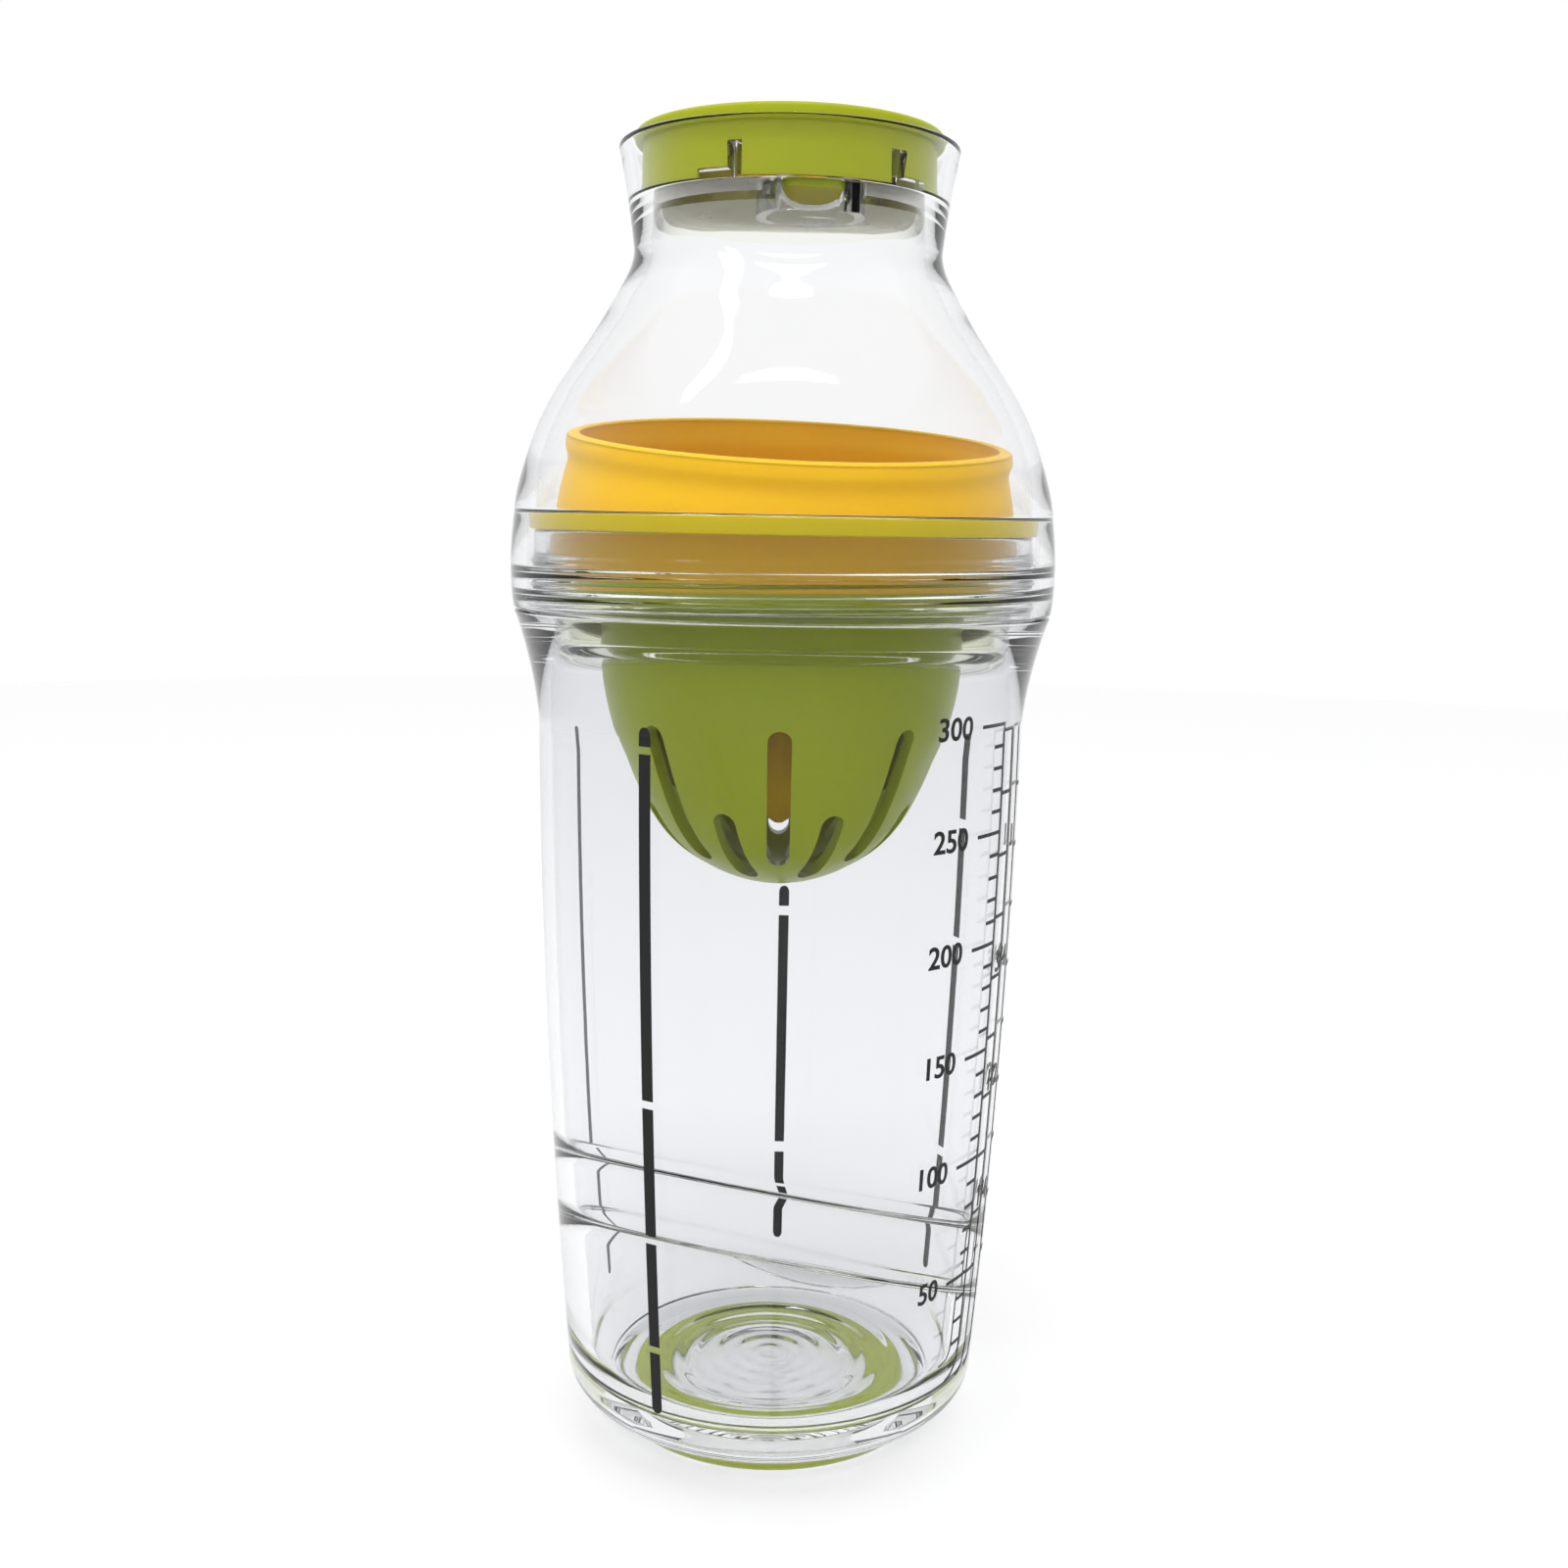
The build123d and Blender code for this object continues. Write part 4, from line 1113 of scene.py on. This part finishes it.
def make_camera():
    """The photograph's viewpoint, for a square image 1600 pixels wide."""
    data = bpy.data.cameras.new("photo_camera")
    data.lens, data.sensor_width = 39.375, 36.0
    data.clip_start, data.clip_end = 0.01, 20.0
    camera = bpy.data.objects.new("photo_camera", data)
    bpy.context.scene.collection.objects.link(camera)
    pitch, yaw, roll = radians(8.742), radians(0.164), radians(1.023)
    ahead = Vector((sin(yaw) * cos(pitch), cos(yaw) * cos(pitch), -sin(pitch)))
    right = Vector((cos(yaw), -sin(yaw), 0))
    up = right.cross(ahead)
    across = cos(roll) * right + sin(roll) * up
    upright = cos(roll) * up - sin(roll) * right
    turn = Matrix((across, upright, -ahead)).transposed()
    camera.matrix_world = Matrix.Translation(Vector((0, -246.28, 132.0)) * MM) @ turn.to_4x4()
    bpy.context.scene.camera = camera


def make_floor(stage):
    """A plain pale floor under the bottle."""
    deselect()
    bpy.ops.mesh.primitive_circle_add(vertices=96, radius=1.2, fill_type="NGON", location=(0, 0, -0.0002))
    floor = bpy.context.object
    floor.name = "floor"
    bpy.ops.object.transform_apply(location=True, rotation=True, scale=True)
    mat, nodes, links, shader = new_material("floor_paint")
    shader.inputs["Base Color"].default_value = (*stage.floor, 1)
    shader.inputs["Roughness"].default_value = 0.6
    floor.data.materials.append(mat)


def make_stage():
    """Floor, lamps, world and camera."""
    stage = bpy.context.scene.shaker_stage
    bpy.context.scene.view_settings.view_transform = "Standard"
    make_world(stage)
    make_floor(stage)
    make_camera()
    power = stage.lamp
    soft_lamp("key", (-360, -290, 300), (0, 0, 110), 260, 340, 0.25 * power)
    soft_lamp("fill", (380, -300, 130), (0, 0, 110), 240, 240, 0.14 * power)
    soft_lamp("front", (-60, -480, 150), (0, 0, 120), 300, 240, 0.20 * power)
    soft_lamp("top", (0, 60, 520), (0, 0, 100), 320, 260, 0.12 * power)
    soft_lamp("oval", (6, -203, 578), (0, -23, 163), 300, 27, 0.4 * power, mirrored=True)
    soft_lamp("streak", (-220, -137, 535), (-9, -25, 157), 50, 170, 0.2 * power, mirrored=True)
    sky = bpy.data.lights.new("sky", "SUN")
    sky.energy, sky.angle = 0.62 * power, radians(90)
    high = bpy.data.objects.new("sky", sky)
    bpy.context.scene.collection.objects.link(high)


# ------------------------------------------------------------------ operators, panel
class ShakerOperator:
    """What the shaker's operators share."""
    bl_options = {"REGISTER", "UNDO"}

    def execute(self, context):
        self.build()
        return {"FINISHED"}


class SHAKER_OT_bottle(ShakerOperator, Operator):
    """Build the clear bottle"""
    bl_idname, bl_label = "shaker.bottle", "Bottle"
    build = staticmethod(make_bottle)


class SHAKER_OT_lid(ShakerOperator, Operator):
    """Build the clear lid"""
    bl_idname, bl_label = "shaker.lid", "Lid"
    build = staticmethod(make_lid)


class SHAKER_OT_seal(ShakerOperator, Operator):
    """Build the joint seal"""
    bl_idname, bl_label = "shaker.seal", "Joint seal"
    build = staticmethod(make_joint_seal)


class SHAKER_OT_grip(ShakerOperator, Operator):
    """Build the grip ring under the foot"""
    bl_idname, bl_label = "shaker.grip", "Grip ring"
    build = staticmethod(make_grip_ring)


class SHAKER_OT_strainer(ShakerOperator, Operator):
    """Build the slotted strainer basket"""
    bl_idname, bl_label = "shaker.strainer", "Strainer"
    build = staticmethod(make_strainer)


class SHAKER_OT_pan(ShakerOperator, Operator):
    """Build the pale pan that carries the basket"""
    bl_idname, bl_label = "shaker.pan", "Strainer pan"
    build = staticmethod(make_pan)


class SHAKER_OT_reamer(ShakerOperator, Operator):
    """Build the soft reamer cup"""
    bl_idname, bl_label = "shaker.reamer", "Reamer cup"
    build = staticmethod(make_reamer)


class SHAKER_OT_stopper(ShakerOperator, Operator):
    """Build the stopper's cap"""
    bl_idname, bl_label = "shaker.stopper", "Stopper"
    build = staticmethod(make_stopper_cap)


class SHAKER_OT_plug(ShakerOperator, Operator):
    """Build the stopper's soft plug"""
    bl_idname, bl_label = "shaker.plug", "Plug"
    build = staticmethod(make_stopper_plug)


class SHAKER_OT_scale(ShakerOperator, Operator):
    """Print the scale on the bottle"""
    bl_idname, bl_label = "shaker.scale", "Printed scale"
    build = staticmethod(make_scale)


class SHAKER_OT_bars(ShakerOperator, Operator):
    """Print the proportion bars on the bottle"""
    bl_idname, bl_label = "shaker.bars", "Printed bars"
    build = staticmethod(make_bars)


class SHAKER_OT_stage(ShakerOperator, Operator):
    """Set up the floor, lamps, world and camera"""
    bl_idname, bl_label = "shaker.stage", "Stage"
    build = staticmethod(make_stage)


OPERATORS = (SHAKER_OT_bottle, SHAKER_OT_lid, SHAKER_OT_seal, SHAKER_OT_grip, SHAKER_OT_strainer,
             SHAKER_OT_pan, SHAKER_OT_reamer, SHAKER_OT_stopper, SHAKER_OT_plug, SHAKER_OT_scale, SHAKER_OT_bars,
             SHAKER_OT_stage)


class SHAKER_PT_panel(Panel):
    """The shaker's buttons in the sidebar"""
    bl_idname, bl_label = "SHAKER_PT_panel", "Shaker"
    bl_space_type, bl_region_type, bl_category = "VIEW_3D", "UI", "Shaker"

    def draw(self, context):
        layout = self.layout
        for group in ("shaker_colours", "shaker_sizes", "shaker_stage"):
            box = layout.box()
            owner = getattr(context.scene, group)
            for field in owner.bl_rna.properties:
                if field.identifier not in {"rna_type", "name"}:
                    box.prop(owner, field.identifier)
        for operator in OPERATORS:
            layout.operator(operator.bl_idname)


GROUPS = {"shaker_colours": ShakerColours, "shaker_sizes": ShakerSizes, "shaker_stage": ShakerStage}
CLASSES = (ShakerColours, ShakerSizes, ShakerStage, *OPERATORS, SHAKER_PT_panel)


def register():
    for cls in CLASSES:
        bpy.utils.register_class(cls)
    for name, group in GROUPS.items():
        setattr(bpy.types.Scene, name, PointerProperty(type=group))


def unregister():
    for name in GROUPS:
        delattr(bpy.types.Scene, name)
    for cls in reversed(CLASSES):
        bpy.utils.unregister_class(cls)


def main():
    """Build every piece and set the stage."""
    register()
    for operator in OPERATORS:
        family, name = operator.bl_idname.split(".")
        getattr(getattr(bpy.ops, family), name)()
    deselect()
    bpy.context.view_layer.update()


if __name__ == "__main__":
    main()
